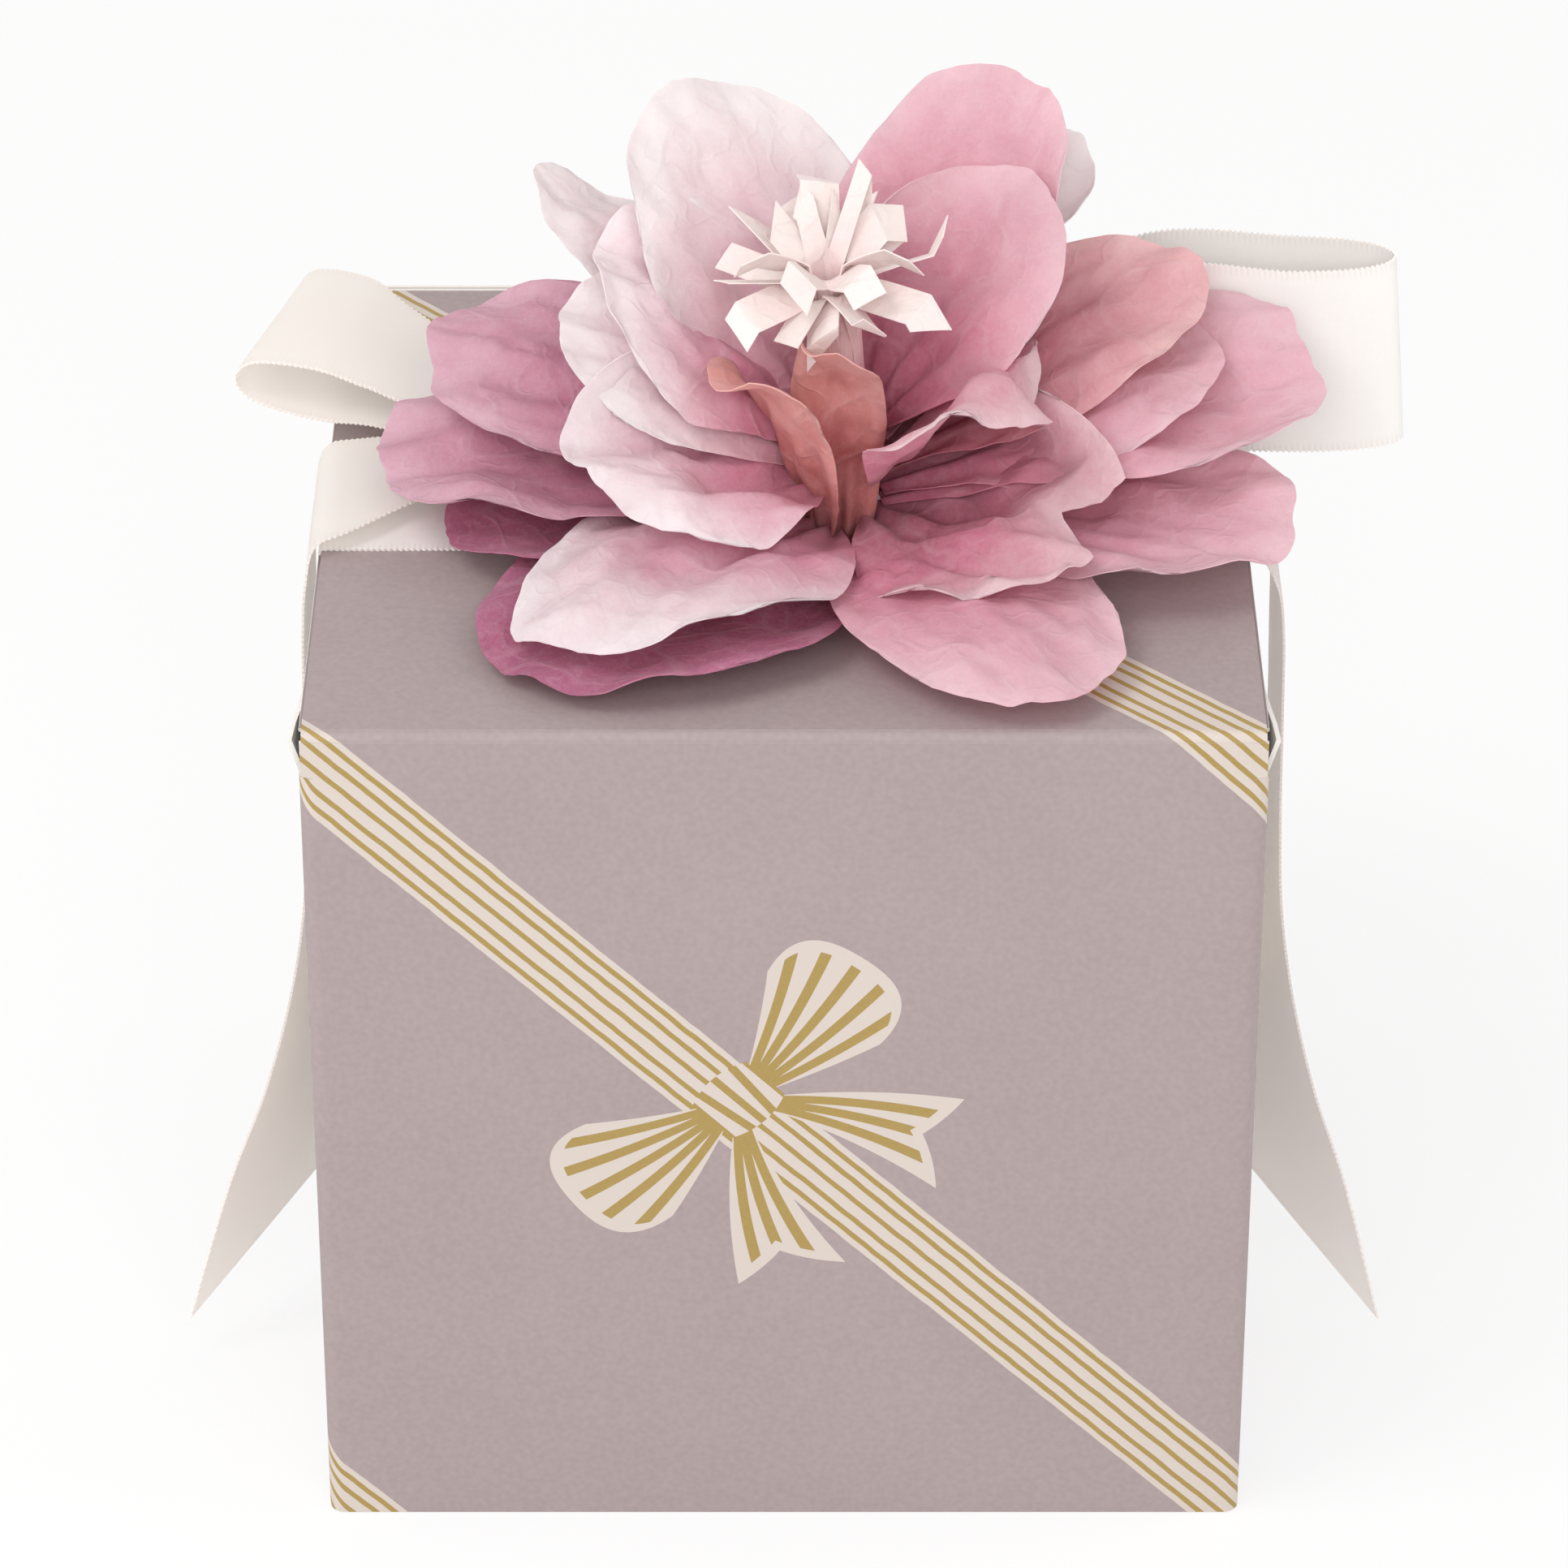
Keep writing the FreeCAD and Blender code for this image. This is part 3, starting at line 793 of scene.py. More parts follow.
def smooth_line(points: np.ndarray, step: float) -> np.ndarray:
    """A smooth line through points, in even steps.

    Args:
        points: Points, with any further values after the first three columns.
        step: Distance between the new points.

    Returns:
        The new points with their values.
    """
    padded = np.concatenate([2 * points[:1] - points[1:2], points, 2 * points[-1:] - points[-2:-1]])
    fine = []
    for a, b, c, d in zip(padded, padded[1:], padded[2:], padded[3:]):
        for share in np.linspace(0, 1, LINE_STEPS, endpoint=False):
            square = (2 * a - 5 * b + 4 * c - d) * share**2
            cube = (3 * b - a - 3 * c + d) * share**3
            fine.append(0.5 * (2 * b + (c - a) * share + square + cube))
    fine.append(points[-1])
    line = np.array(fine)
    gone = np.concatenate([[0], np.cumsum(np.linalg.norm(np.diff(line[:, :3], axis=0), axis=1))])
    count = max(4, int(round(gone[-1] / step)))
    places = np.linspace(0, gone[-1], count + 1)
    return np.stack([np.interp(places, gone, line[:, k]) for k in range(line.shape[1])], axis=1)


def ease(value: np.ndarray | float) -> np.ndarray | float:
    """A smooth step from 0 to 1 over the range 0 to 1."""
    held = np.clip(value, 0, 1)
    return held * held * (3 - 2 * held)


def ripple(x: float, y: float, seed: float) -> float:
    """Even noise about 0 on a flat sheet."""
    return noise.noise(Vector((x, y, seed)))


def ridge(x: float, y: float, seed: float) -> float:
    """Sharp folds on a flat sheet, from -1 in the hollows to 1 on the folds."""
    return 1 - 3.2 * abs(ripple(x, y, seed))


def creased(x: float, y: float, seed: float) -> float:
    """Flat facets between straight creases, from -1 to 1: a sheet folded again and again.

    Args:
        x: Place across the sheet, in widths of a facet.
        y: Place along it.
        seed: Start of the folds' directions.

    Returns:
        Height of the creased sheet there.
    """
    for k in range(CREASES):
        turn = seed + CREASE_TURN * k
        x, y = x * math.cos(turn) - y * math.sin(turn), x * math.sin(turn) + y * math.cos(turn)
        x = abs((x + 0.37 * seed + 0.21 * k) % 2 - 1) - 0.5
    return 2 * x


# Carton


@dataclass
class Carton:
    """The folding carton: walls, lid, flaps and the creases between them."""

    width: float = 115 * MM
    depth: float = 115 * MM
    height: float = 115 * MM
    board: float = 0.6 * MM
    corner: float = 2.0 * MM
    ear_bottom: float = 109.25 * MM
    ear_inset: float = 0.3 * MM
    slit: float = 0.4 * MM
    side_top: float = 113.05 * MM
    back_top: float = 114.8 * MM
    lid_half: float = 57.0 * MM
    lid_rear: float = 55.4 * MM
    fold: float = 1.15 * MM
    spread: float = 1.3 * MM
    spread_from: float = 16.0 * MM
    spread_over: float = 14.0 * MM
    wave: float = 0.14 * MM
    wave_rate: float = 28.0
    wave_seed: float = 3.7
    calm_edge: float = 6.0 * MM
    step: float = 4.0 * MM
    flat_steps: int = 29
    corner_steps: int = 8
    lid_steps: int = 41
    fold_steps: int = 9
    printed: PrintedBoard = PrintedBoard()
    plain: PlainBoard = PlainBoard()

    def __post_init__(self) -> None:
        """Makes the carton's materials."""
        self.outside = self.printed.material("printed_board")
        self.inside = self.plain.material("white_board")

    def _ring(self) -> tuple[np.ndarray, np.ndarray]:
        """The walls' outline from the glued rear left corner round to it again.

        Returns:
            Points on the middle of the board, and each one's place on the print.
        """
        inset = self.board / 2
        radius = self.corner - inset
        w, d = self.width / 2, self.depth / 2
        centres = [(-1, -1, 180), (1, -1, 270), (1, 1, 0), (-1, 1, 90)]
        front = self.printed.on_front
        marks = [front(0) - 1, front(0), front(1), front(1) + 1, front(1) + 2]
        points: list[tuple[float, float]] = []
        places: list[float] = []
        for face, (sx, sy, start) in enumerate(centres):
            cx, cy = sx * (w - self.corner), sy * (d - self.corner)
            previous = centres[face - 1]
            px, py = previous[0] * (w - self.corner), previous[1] * (d - self.corner)
            out = (math.cos(math.radians(start)), math.sin(math.radians(start)))
            for share in np.linspace(0, 1, self.flat_steps):
                x = px + (cx - px) * share + out[0] * radius
                y = py + (cy - py) * share + out[1] * radius
                points.append((x, y))
                gone = (self.corner + (self.width - 2 * self.corner) * share) / self.width
                places.append(marks[face] + (marks[face + 1] - marks[face]) * gone)
            for k in range(1, self.corner_steps):
                gone = k / self.corner_steps
                turn = math.radians(start + 90 * gone)
                points.append((cx + radius * math.cos(turn), cy + radius * math.sin(turn)))
                places.append(marks[face + 1] + self.corner * (2 * gone - 1) / self.width)
        return np.array(points), np.array(places)

    def _wall(
        self,
        ring: np.ndarray,
        places: np.ndarray,
        low: np.ndarray,
        high: np.ndarray,
    ) -> SheetMesh:
        """One stretch of wall between two heights.

        Args:
            ring: Points of its outline.
            places: The outline's places on the print.
            low: Height of the foot at each point.
            high: Height of the top at each point.

        Returns:
            The wall as a sheet.
        """
        count = max(2, int(np.max(high - low) / self.step))
        shares = np.linspace(0, 1, count + 1)
        heights = low[None, :] + (high - low)[None, :] * shares[:, None]
        grid = np.zeros((*heights.shape, 3))
        grid[..., :2] = ring[None, :, :]
        grid[..., 2] = heights
        flat_map = np.zeros((*heights.shape, 2))
        flat_map[..., 0] = places[None, :]
        flat_map[..., 1] = 1 - heights / self.height
        return SheetMesh(grid, self.board, flat_map, outer_first=False)

    def walls(self) -> None:
        """The four walls, with the slits at the front's top corners."""
        ring, places = self._ring()
        closed = np.concatenate([ring, ring[:1]])
        closed_places = np.concatenate([places, [2 * places[-1] - places[-2]]])
        cut = self.ear_bottom - self.slit
        low = np.zeros(len(closed))
        sheets = [self._wall(closed, closed_places, low, low + cut)]
        front_y = -self.depth / 2 + self.board / 2
        behind = closed[:, 1] > -self.depth / 2 + self.corner - HAIR
        for stretch in (behind & (closed_places < 0.5), behind & (closed_places > 0.5)):
            rear, rear_places = closed[stretch], closed_places[stretch]
            on_back = np.abs(rear[:, 1] - (self.depth / 2 - self.board / 2)) < HAIR
            tops = np.where(on_back, self.back_top, self.side_top)
            side = self._wall(rear, rear_places, np.full(len(rear), cut), tops)
            rear_of_slit = -self.depth / 2 + self.spread_from
            near_slit = ease((rear_of_slit - side.points[..., 1]) / self.spread_over)
            risen = ease((side.points[..., 2] - cut) / (self.side_top - cut))
            side.points[..., 0] += np.sign(side.points[..., 0]) * self.spread * near_slit * risen
            sheets.append(side)
        ear = self.width / 2 - self.ear_inset
        flat = self.width / 2 - self.corner
        xs = np.concatenate([[-ear], np.linspace(-flat, flat, self.flat_steps), [ear]])
        strip = np.stack([xs, np.full(len(xs), front_y)], axis=1)
        foot = np.where(np.abs(xs) > flat + HAIR, self.ear_bottom, cut)
        top = np.full(len(xs), self.height - self.fold)
        sheets.append(self._wall(strip, self.printed.on_front(xs / self.width + 0.5), foot, top))
        piece = Piece("carton_walls", sheets).dress(self.outside, self.inside, self.inside)
        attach(piece.object, "carton")
        piece.stands_for("carton_board", "front_panel", "back_panel", "left_panel", "right_panel")

    def lid(self) -> None:
        """The lid's panel, a little wavy as thin board is."""
        half, front = self.lid_half, -self.depth / 2 + self.fold
        xs = np.linspace(-half, half, self.lid_steps)
        ys = np.linspace(front, self.lid_rear, self.lid_steps)
        grid = np.zeros((len(ys), len(xs), 3))
        flat_map = np.zeros((len(ys), len(xs), 2))
        for r, y in enumerate(ys):
            for c, x in enumerate(xs):
                calm = ease((y - front) / self.calm_edge) * ease((self.lid_rear - y) / self.calm_edge)
                at = (self.wave_rate * x, self.wave_rate * y, self.wave_seed)
                wave = self.wave * calm * ripple(*at)
                grid[r, c] = (x, y, self.height - self.board / 2 - abs(wave))
                flat_map[r, c] = self.printed.on_lid(x / self.width + 0.5, 0.5 - y / self.depth)
        sheet = SheetMesh(grid, self.board, flat_map, outer_first=False)
        piece = Piece("lid_board", [sheet]).dress(self.outside, self.inside, self.inside)
        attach(piece.object, "lid")
        piece.stands_for("carton_board", "lid_panel")

    def _crease(
        self,
        name: str,
        ends: tuple[np.ndarray, np.ndarray],
        inward: tuple[Vector, Vector],
        radius: float,
        print_at: Callable[[np.ndarray, float], tuple[float, float]],
    ) -> None:
        """A rounded fold along the joint that it crosses.

        Args:
            name: Name of the piece.
            ends: Ends of the line where the two outer faces would meet.
            inward: From that line along the first face and along the second.
            radius: Outside radius of the fold.
            print_at: Place on the print for a point and its share of the way round.
        """
        one, two = ends
        first, second = (np.array(v) for v in inward)
        centre_shift = (first + second) * radius
        rows = []
        maps = []
        for share in np.linspace(0, 1, self.fold_steps):
            turn = share * math.pi / 2
            out = -second * math.cos(turn) - first * math.sin(turn)
            offset = centre_shift + out * (radius - self.board / 2)
            line = [one + (two - one) * k + offset for k in np.linspace(0, 1, self.lid_steps)]
            rows.append(line)
            maps.append([print_at(p, share) for p in line])
        sheet = SheetMesh(np.array(rows), self.board, np.array(maps))
        facing = sheet.normals()[self.fold_steps // 2, self.lid_steps // 2] @ (-first - second)
        sheet.outer_first = facing > 0
        piece = Piece(name, [sheet]).dress(self.outside, self.inside, self.inside)
        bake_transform(piece.object)
        piece.stands_for("carton_board")

    def _front_print(self, p: np.ndarray, share: float) -> tuple[float, float]:
        """Place on the print at a point of the front crease and a share of the way round."""
        place = self.printed.on_front(p[0] / self.width + 0.5)
        return place, (1 - 2 * share) * self.fold / self.height

    def _rear_print(self, p: np.ndarray, share: float) -> tuple[float, float]:
        """Place on the print at a point of the rear crease, the same at any share."""
        return self.printed.on_lid(p[0] / self.width + 0.5, 0.5 - p[1] / self.depth)

    def creases(self) -> None:
        """The folds at the lid's front and rear edges."""
        back, down = Vector((0, 1, 0)), Vector((0, 0, -1))
        half, top = self.lid_half, self.height
        for name, y, inward, bodies, print_at in (
            ("front_crease", -self.depth / 2, (down, back), ("carton", "lid"), self._front_print),
            ("rear_crease", self.lid_rear + self.fold, (-back, down), ("lid", "tuck_flap"), self._rear_print),
        ):
            ends = (np.array((-half, y, top)), np.array((half, y, top)))
            self._crease(name, ends, inward, self.fold, print_at)

    def flaps(self) -> None:
        """Materials of the flaps, which keep their solids' shapes."""
        facing = {
            "tuck_flap": (0.0, 0.98, 0.2),
            "left_dust_flap": (0.0, 0.0, 1.0),
            "right_dust_flap": (0.0, 0.0, 1.0),
            "glue_flap": (0.0, 1.0, 0.0),
        }
        facing |= {f"base_{side}_flap": (0.0, 0.0, -1.0) for side in ("front", "back", "left", "right")}
        made: dict[tuple[float, float, float], bpy.types.Material] = {}
        for node, outward in facing.items():
            if outward not in made:
                finish = FlapBoard(self.printed.ground, self.plain.colour, outward)
                made[outward] = finish.material("flap_board")
            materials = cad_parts[node].data.materials
            materials.clear()
            materials.append(made[outward])
            log.info("%s keeps its solid", node)

    def build(self) -> None:
        """Builds and dresses the carton."""
        self.walls()
        self.lid()
        self.creases()
        self.flaps()


# Ribbon


class Hold(Enum):
    """How a length of ribbon is held."""

    STRETCHED = "stretched"
    FOLDED = "folded"
    HUNG = "hung"


@dataclass
class Bow:
    """The satin ribbon: band, knot, two loops and two tails."""

    width: float = 25.0
    thickness: float = 0.3
    lid_top: float = 115.0
    lid_half: float = 57.0
    board: float = 0.6
    panel: float = 57.5
    band_y: float = -1.0
    band_lift: float = 0.06
    edge_fold: float = 0.35
    knot_y: float = 17.5
    knot_size: tuple[float, float, float] = (13.0, 9.0, 6.5)
    knot_wrap: float = 28.0
    knot_rows: int = 28
    knot_cols: int = 30
    picot: float = 0.38
    picot_gap: float = 0.06
    picot_step: float = 0.36
    cols: int = 15
    tail_root: float = 13.1
    tail_bend: tuple[float, float] = (-6.0, 94.0)
    tail_blend: float = 9.0
    tail_free: tuple[float, float] = (79.0, 13.0)
    tail_steps: int = 5
    tail_sway: float = 9.0
    tail_twist: float = 45.0
    tail_cut: float = 14.0
    satin: SatinRibbon = SatinRibbon()
    hanging_satin: SatinRibbon = SatinRibbon(through=0.5)

    def __post_init__(self) -> None:
        """Makes the ribbon's material."""
        self.material = self.satin.material("satin_ribbon")
        self.hanging = self.hanging_satin.material("hanging_satin_ribbon")

    def _ribbon(self, route: Sequence[Sequence[float]]) -> SheetMesh:
        """A length of ribbon along a route, with small picots along both edges.

        Args:
            route: Rows of centre and full-width vector, in millimetres.

        Returns:
            The ribbon as a sheet.
        """
        line = smooth_line(np.array(route, float), self.picot_step)
        centres, spans = line[:, :3], line[:, 3:]
        unit = spans / np.linalg.norm(spans, axis=1, keepdims=True)
        shares = np.concatenate([[-0.5], np.linspace(-0.5, 0.5, self.cols), [0.5]])
        gone = np.concatenate([[0], np.cumsum(np.linalg.norm(np.diff(centres, axis=0), axis=1))])
        grid = centres[:, None, :] + spans[:, None, :] * shares[None, :, None]
        teeth = np.where(np.arange(len(line)) % 2 == 0, self.picot, self.picot_gap)[:, None]
        grid[:, 0] -= unit * teeth
        grid[:, -1] += unit * teeth
        flat_map = np.stack(np.meshgrid(shares + 0.5, gone * MM), axis=2)
        return SheetMesh(grid * MM, self.thickness * MM, flat_map)

    @staticmethod
    def _length(sheet: SheetMesh) -> float:
        """Length of a ribbon's middle line in metres."""
        middle = sheet.points[:, sheet.points.shape[1] // 2]
        return float(np.linalg.norm(np.diff(middle, axis=0), axis=1).sum())

    def band(self) -> None:
        """The band over the lid, folded round its side edges."""
        top = self.lid_top + self.thickness / 2
        under = self.lid_top - self.board - self.thickness / 2
        side = self.lid_half + self.thickness / 2
        turned = side - self.edge_fold
        width = (0, self.width, 0)
        half = [(43, under), (52, under), (turned, under), (side, self.lid_top - self.board / 2)]
        half += [(turned, top), (52, top), (28, top + self.band_lift)]
        stops = [(-x, z) for x, z in half] + [(0, top)] + half[::-1]
        sheet = self._ribbon([(x, self.band_y, z, *width) for x, z in stops])
        piece = Piece("ribbon_band_satin", [sheet]).dress(self.material)
        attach(piece.object, "lid")
        piece.stands_for("satin_ribbon", "ribbon_band")

    def knot(self) -> None:
        """The knot: a short wrapped length with gathered folds."""
        long, deep, high = self.knot_size
        foot = self.lid_top + self.thickness
        rows = []
        for turn in np.linspace(0, 2 * math.pi, self.knot_rows + 1):
            reach_y = math.copysign(abs(math.cos(turn)) ** 0.6, math.cos(turn)) * (deep / 2 - 0.3)
            reach_z = math.copysign(abs(math.sin(turn)) ** 0.6, math.sin(turn)) * (high / 2 - 0.3)
            row = []
            for c in range(self.knot_cols + 1):
                share = c / self.knot_cols - 0.5
                swell = math.sqrt(max(0.0, 1 - (2 * abs(share)) ** 3)) * 0.35 + 0.62
                fold = 0.18 * math.sin(c * 1.35 + 2.2 * math.sin(turn))
                x = share * (long - 0.4)
                scale = swell + 0.05 * fold
                row.append((x, self.knot_y + reach_y * scale, foot + high / 2 + reach_z * scale))
            rows.append(row)
        grid = np.array(rows) * MM
        flat_map = np.zeros((*grid.shape[:2], 2))
        flat_map[..., 0] = np.linspace(0.1, 0.9, grid.shape[1])[None, :]
        flat_map[..., 1] = np.linspace(0, self.knot_wrap * MM, grid.shape[0])[:, None]
        sheet = SheetMesh(grid, self.thickness * MM, flat_map)
        piece = Piece("bow_knot_satin", [sheet]).dress(self.material)
        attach(piece.object, "lid")
        piece.stands_for("satin_ribbon", "bow_knot")

    def _loop_route(
        self,
        side: int,
        stops: Sequence[tuple[float, float, float, float, float]],
        standing: bool,
        lean: float,
    ) -> list[tuple[float, ...]]:
        """Route of a loop.

        Args:
            side: -1 for the left loop, 1 for the right one.
            stops: Rows of reach, set behind the knot, foot height, half gap and width.
            standing: True if the ribbon stands on its edge.
            lean: Slant of the ribbon's width at the far end.

        Returns:
            Rows of centre and width vector.
        """
        far = max(row[0] for row in stops)
        route = []
        for reach, back, foot, gap, width in stops:
            slant = -side * lean * reach / far
            height = self.lid_top + self.thickness + foot
            if standing:
                centre = (side * reach, self.knot_y + back + gap, height + width / 2)
                route.append((*centre, slant, 0.0, width))
            else:
                centre = (side * reach, self.knot_y + back, height + gap)
                route.append((*centre, slant, width, 0.0))
        return route

    def loops(self) -> None:
        """The lying loop on the left and the standing loop on the right."""
        left = [
            (6.8, 0.0, 5.2, -0.8, 9.0),
            (20.0, -1.0, 5.0, -1.2, 13.5),
            (40.0, -1.2, 5.4, -1.6, 16.5),
            (50.0, 4.0, 6.2, -2.4, 20.0),
            (56.0, 8.0, 6.6, -3.2, 24.0),
            (63.4, 11.0, 7.0, -2.4, 25.0),
            (65.9, 11.5, 7.4, 0.2, 25.0),
            (63.4, 11.0, 7.6, 2.6, 25.0),
            (56.0, 8.0, 7.0, 3.6, 24.0),
            (50.0, 4.0, 6.2, 3.0, 20.0),
            (40.0, -1.2, 5.4, 1.8, 16.5),
            (20.0, -1.0, 5.0, 1.2, 13.5),
            (6.8, 0.0, 5.2, 0.8, 9.0),
        ]
        right = [
            (6.8, 0.0, 0.9, -1.2, 7.0),
            (24.0, 0.4, 0.7, -2.6, 13.0),
            (45.0, -1.2, 0.5, -4.3, 25.0),
            (64.0, -1.7, 0.4, -4.9, 25.0),
            (74.0, -1.9, 0.35, -3.4, 25.0),
            (77.4, -2.0, 0.35, 0.0, 25.0),
            (74.0, -1.9, 0.35, 3.4, 25.0),
            (64.0, -1.7, 0.4, 4.9, 25.0),
            (45.0, -1.2, 0.5, 4.3, 25.0),
            (24.0, 0.4, 0.7, 2.6, 13.0),
            (6.8, 0.0, 0.9, 1.2, 7.0),
        ]
        for name, side, stops, standing, lean, satin in (
            ("left", -1, left, False, 7.0, self.hanging),
            ("right", 1, right, True, 2.0, self.material),
        ):
            sheet = self._ribbon(self._loop_route(side, stops, standing, lean))
            piece = Piece(f"{name}_loop_satin", [sheet]).dress(satin)
            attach(piece.object, "lid")
            piece.stands_for("satin_ribbon", f"{name}_bow_loop")

    def _tail_route(self, side: int, standoff: float, flare: float) -> list[tuple[float, ...]]:
        """Route of a tail from the knot over the lid's edge to the cut end.

        Args:
            side: -1 for the left tail, 1 for the right one.
            standoff: Distance of the hanging length from the side panel.
            flare: Distance that the cut end swings out.

        Returns:
            Rows of centre and width vector.
        """
        bend_y, bend_z = self.tail_bend
        edge = self.lid_half + self.thickness
        hang = self.panel + standoff + self.thickness / 2
        low = hang + 0.6
        wide = self.width
        over = self.lid_top + self.thickness + 0.8
        rows = [
            (6.8, self.tail_root, over, 5.0, 0.0, 0.0),
            (28.0, 8.4, over + 1.0, 9.0, 0.0, 0.0),
            (41.9, 4.2, over + 1.6, 14.0, 0.0, 0.0),
            (53.4, -2.0, over + 1.7, 23.0, 0.0, 0.0),
            (edge + 0.4, -3.2, over + 0.6, wide, 0.0, 0.0),
            (0.2 * edge + 0.8 * hang, -4.6, self.lid_top - 3.0, wide, 0.0, 0.0),
            (hang, bend_y, self.lid_top - 9.0, wide, 0.0, 0.0),
            (0.5 * (hang + low), bend_y, bend_z, wide, 0.0, 0.0),
        ]
        high, end = self.tail_free
        for k in range(self.tail_steps + 1):
            share = k / self.tail_steps
            swing = share * share
            height = high + (end - high) * share
            cut = self.tail_cut if k == self.tail_steps else 0.0
            y = bend_y - self.tail_sway * swing
            rows.append((low + flare * swing, y, height, wide, self.tail_twist * swing, cut))
        route = []
        for x, y, z, wide, twist, cut in rows:
            turn = math.radians(twist)
            span = (-side * math.sin(turn) * wide, math.cos(turn) * wide, cut)
            route.append((side * x, y, z, *span))
        return route

    def tails(self) -> None:
        """The two tails, each of one length with a bend below the lid's edge."""
        for name, side, standoff, flare in (("left", -1, 1.7, 8.5), ("right", 1, 4.0, 6.2)):
            sheet = self._ribbon(self._tail_route(side, standoff, flare))
            piece = Piece(f"{name}_tail_satin", [sheet]).dress(self.hanging)
            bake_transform(piece.object)
            piece.stands_for("satin_ribbon", f"{name}_tail_top", f"{name}_tail")

    def build(self) -> None:
        """Builds and dresses the bow."""
        self.band()
        self.knot()
        self.loops()
        self.tails()


# Flower


class Dye(Enum):
    """Ways in which the tissue of a petal was dipped."""

    MAGENTA = "magenta"
    MAUVE = "mauve"
    PINK = "pink"
    BLUSH = "blush"
    PALE = "pale"
    CORAL = "coral"
    ROSE = "rose"
    PEACH = "peach"


DYES: dict[Dye, DippedTissue] = {
    Dye.MAGENTA: DippedTissue(srgb(118, 22, 70), srgb(172, 60, 108), srgb(200, 110, 150), 0.8, 0.26),
    Dye.MAUVE: DippedTissue(srgb(148, 40, 92), srgb(196, 92, 136), srgb(228, 186, 202), 0.7, 0.32),
    Dye.PINK: DippedTissue(srgb(170, 44, 88), srgb(220, 126, 156), srgb(244, 212, 220), 0.68, 0.32),
    Dye.BLUSH: DippedTissue(srgb(176, 54, 94), srgb(220, 134, 162), srgb(252, 247, 248), 0.62, 0.26),
    Dye.PALE: DippedTissue(srgb(196, 90, 122), srgb(232, 174, 190), srgb(250, 247, 246), 0.56, 0.28),
    Dye.CORAL: DippedTissue(srgb(160, 56, 64), srgb(214, 122, 118), srgb(242, 192, 184), 0.72, 0.28),
    Dye.ROSE: DippedTissue(srgb(148, 36, 72), srgb(212, 118, 148), srgb(246, 222, 226), 0.78, 0.24),
    Dye.PEACH: DippedTissue(srgb(164, 46, 80), srgb(220, 130, 152), srgb(243, 206, 206), 0.72, 0.3),
}
DYE_SLOTS: dict[Dye, str] = {
    Dye.MAGENTA: "tissue_deep",
    Dye.MAUVE: "tissue_pink",
    Dye.PINK: "tissue_pink",
    Dye.BLUSH: "tissue_pink",
    Dye.PALE: "tissue_pale",
    Dye.CORAL: "tissue_coral",
    Dye.ROSE: "tissue_pink",
    Dye.PEACH: "tissue_coral",
}


@dataclass(frozen=True)
class Petal:
    """One petal: its tip from the flower's axis, its width, and how the paper bends.

    Attributes:
        node: Name of the solid that it stands for.
        tip: Tip right of the axis, behind it and above the lid, in millimetres.
        width: Greatest width in millimetres.
        dye: How the paper was dipped.
        bend: Turn of the petal's length in degrees; positive rises first and levels out.
        flip: Further turn of its last third, in degrees; positive turns the end down.
        crimp: Share of the length over which that turn is made.
        cup: Half angle of the curve across the petal, in degrees; positive is hollow above.
        roll: Turn about the petal's length, in degrees; positive lifts its left side,
            seen from the axis.
        ruffle: Height of the waves along the rim.
        waves: Number of those waves across the rim.
        crumple: Height of the crumples.
        round_end: Depth of the rounded end, in half widths; 1 is a half circle.
        notch: Depth of the notch in the rim, as a share of the length.
        root: Distance of the root from the axis and its height above the lid, if it isn't
            in the common stack.
    """

    node: str
    tip: tuple[float, float, float]
    width: float
    dye: Dye
    bend: float = 25.0
    flip: float = 0.0
    crimp: float = 0.34
    cup: float = 16.0
    roll: float = 0.0
    ruffle: float = 0.9
    waves: float = 1.5
    crumple: float = 1.25
    round_end: float = 1.15
    notch: float = 0.0
    root: tuple[float, float] | None = None


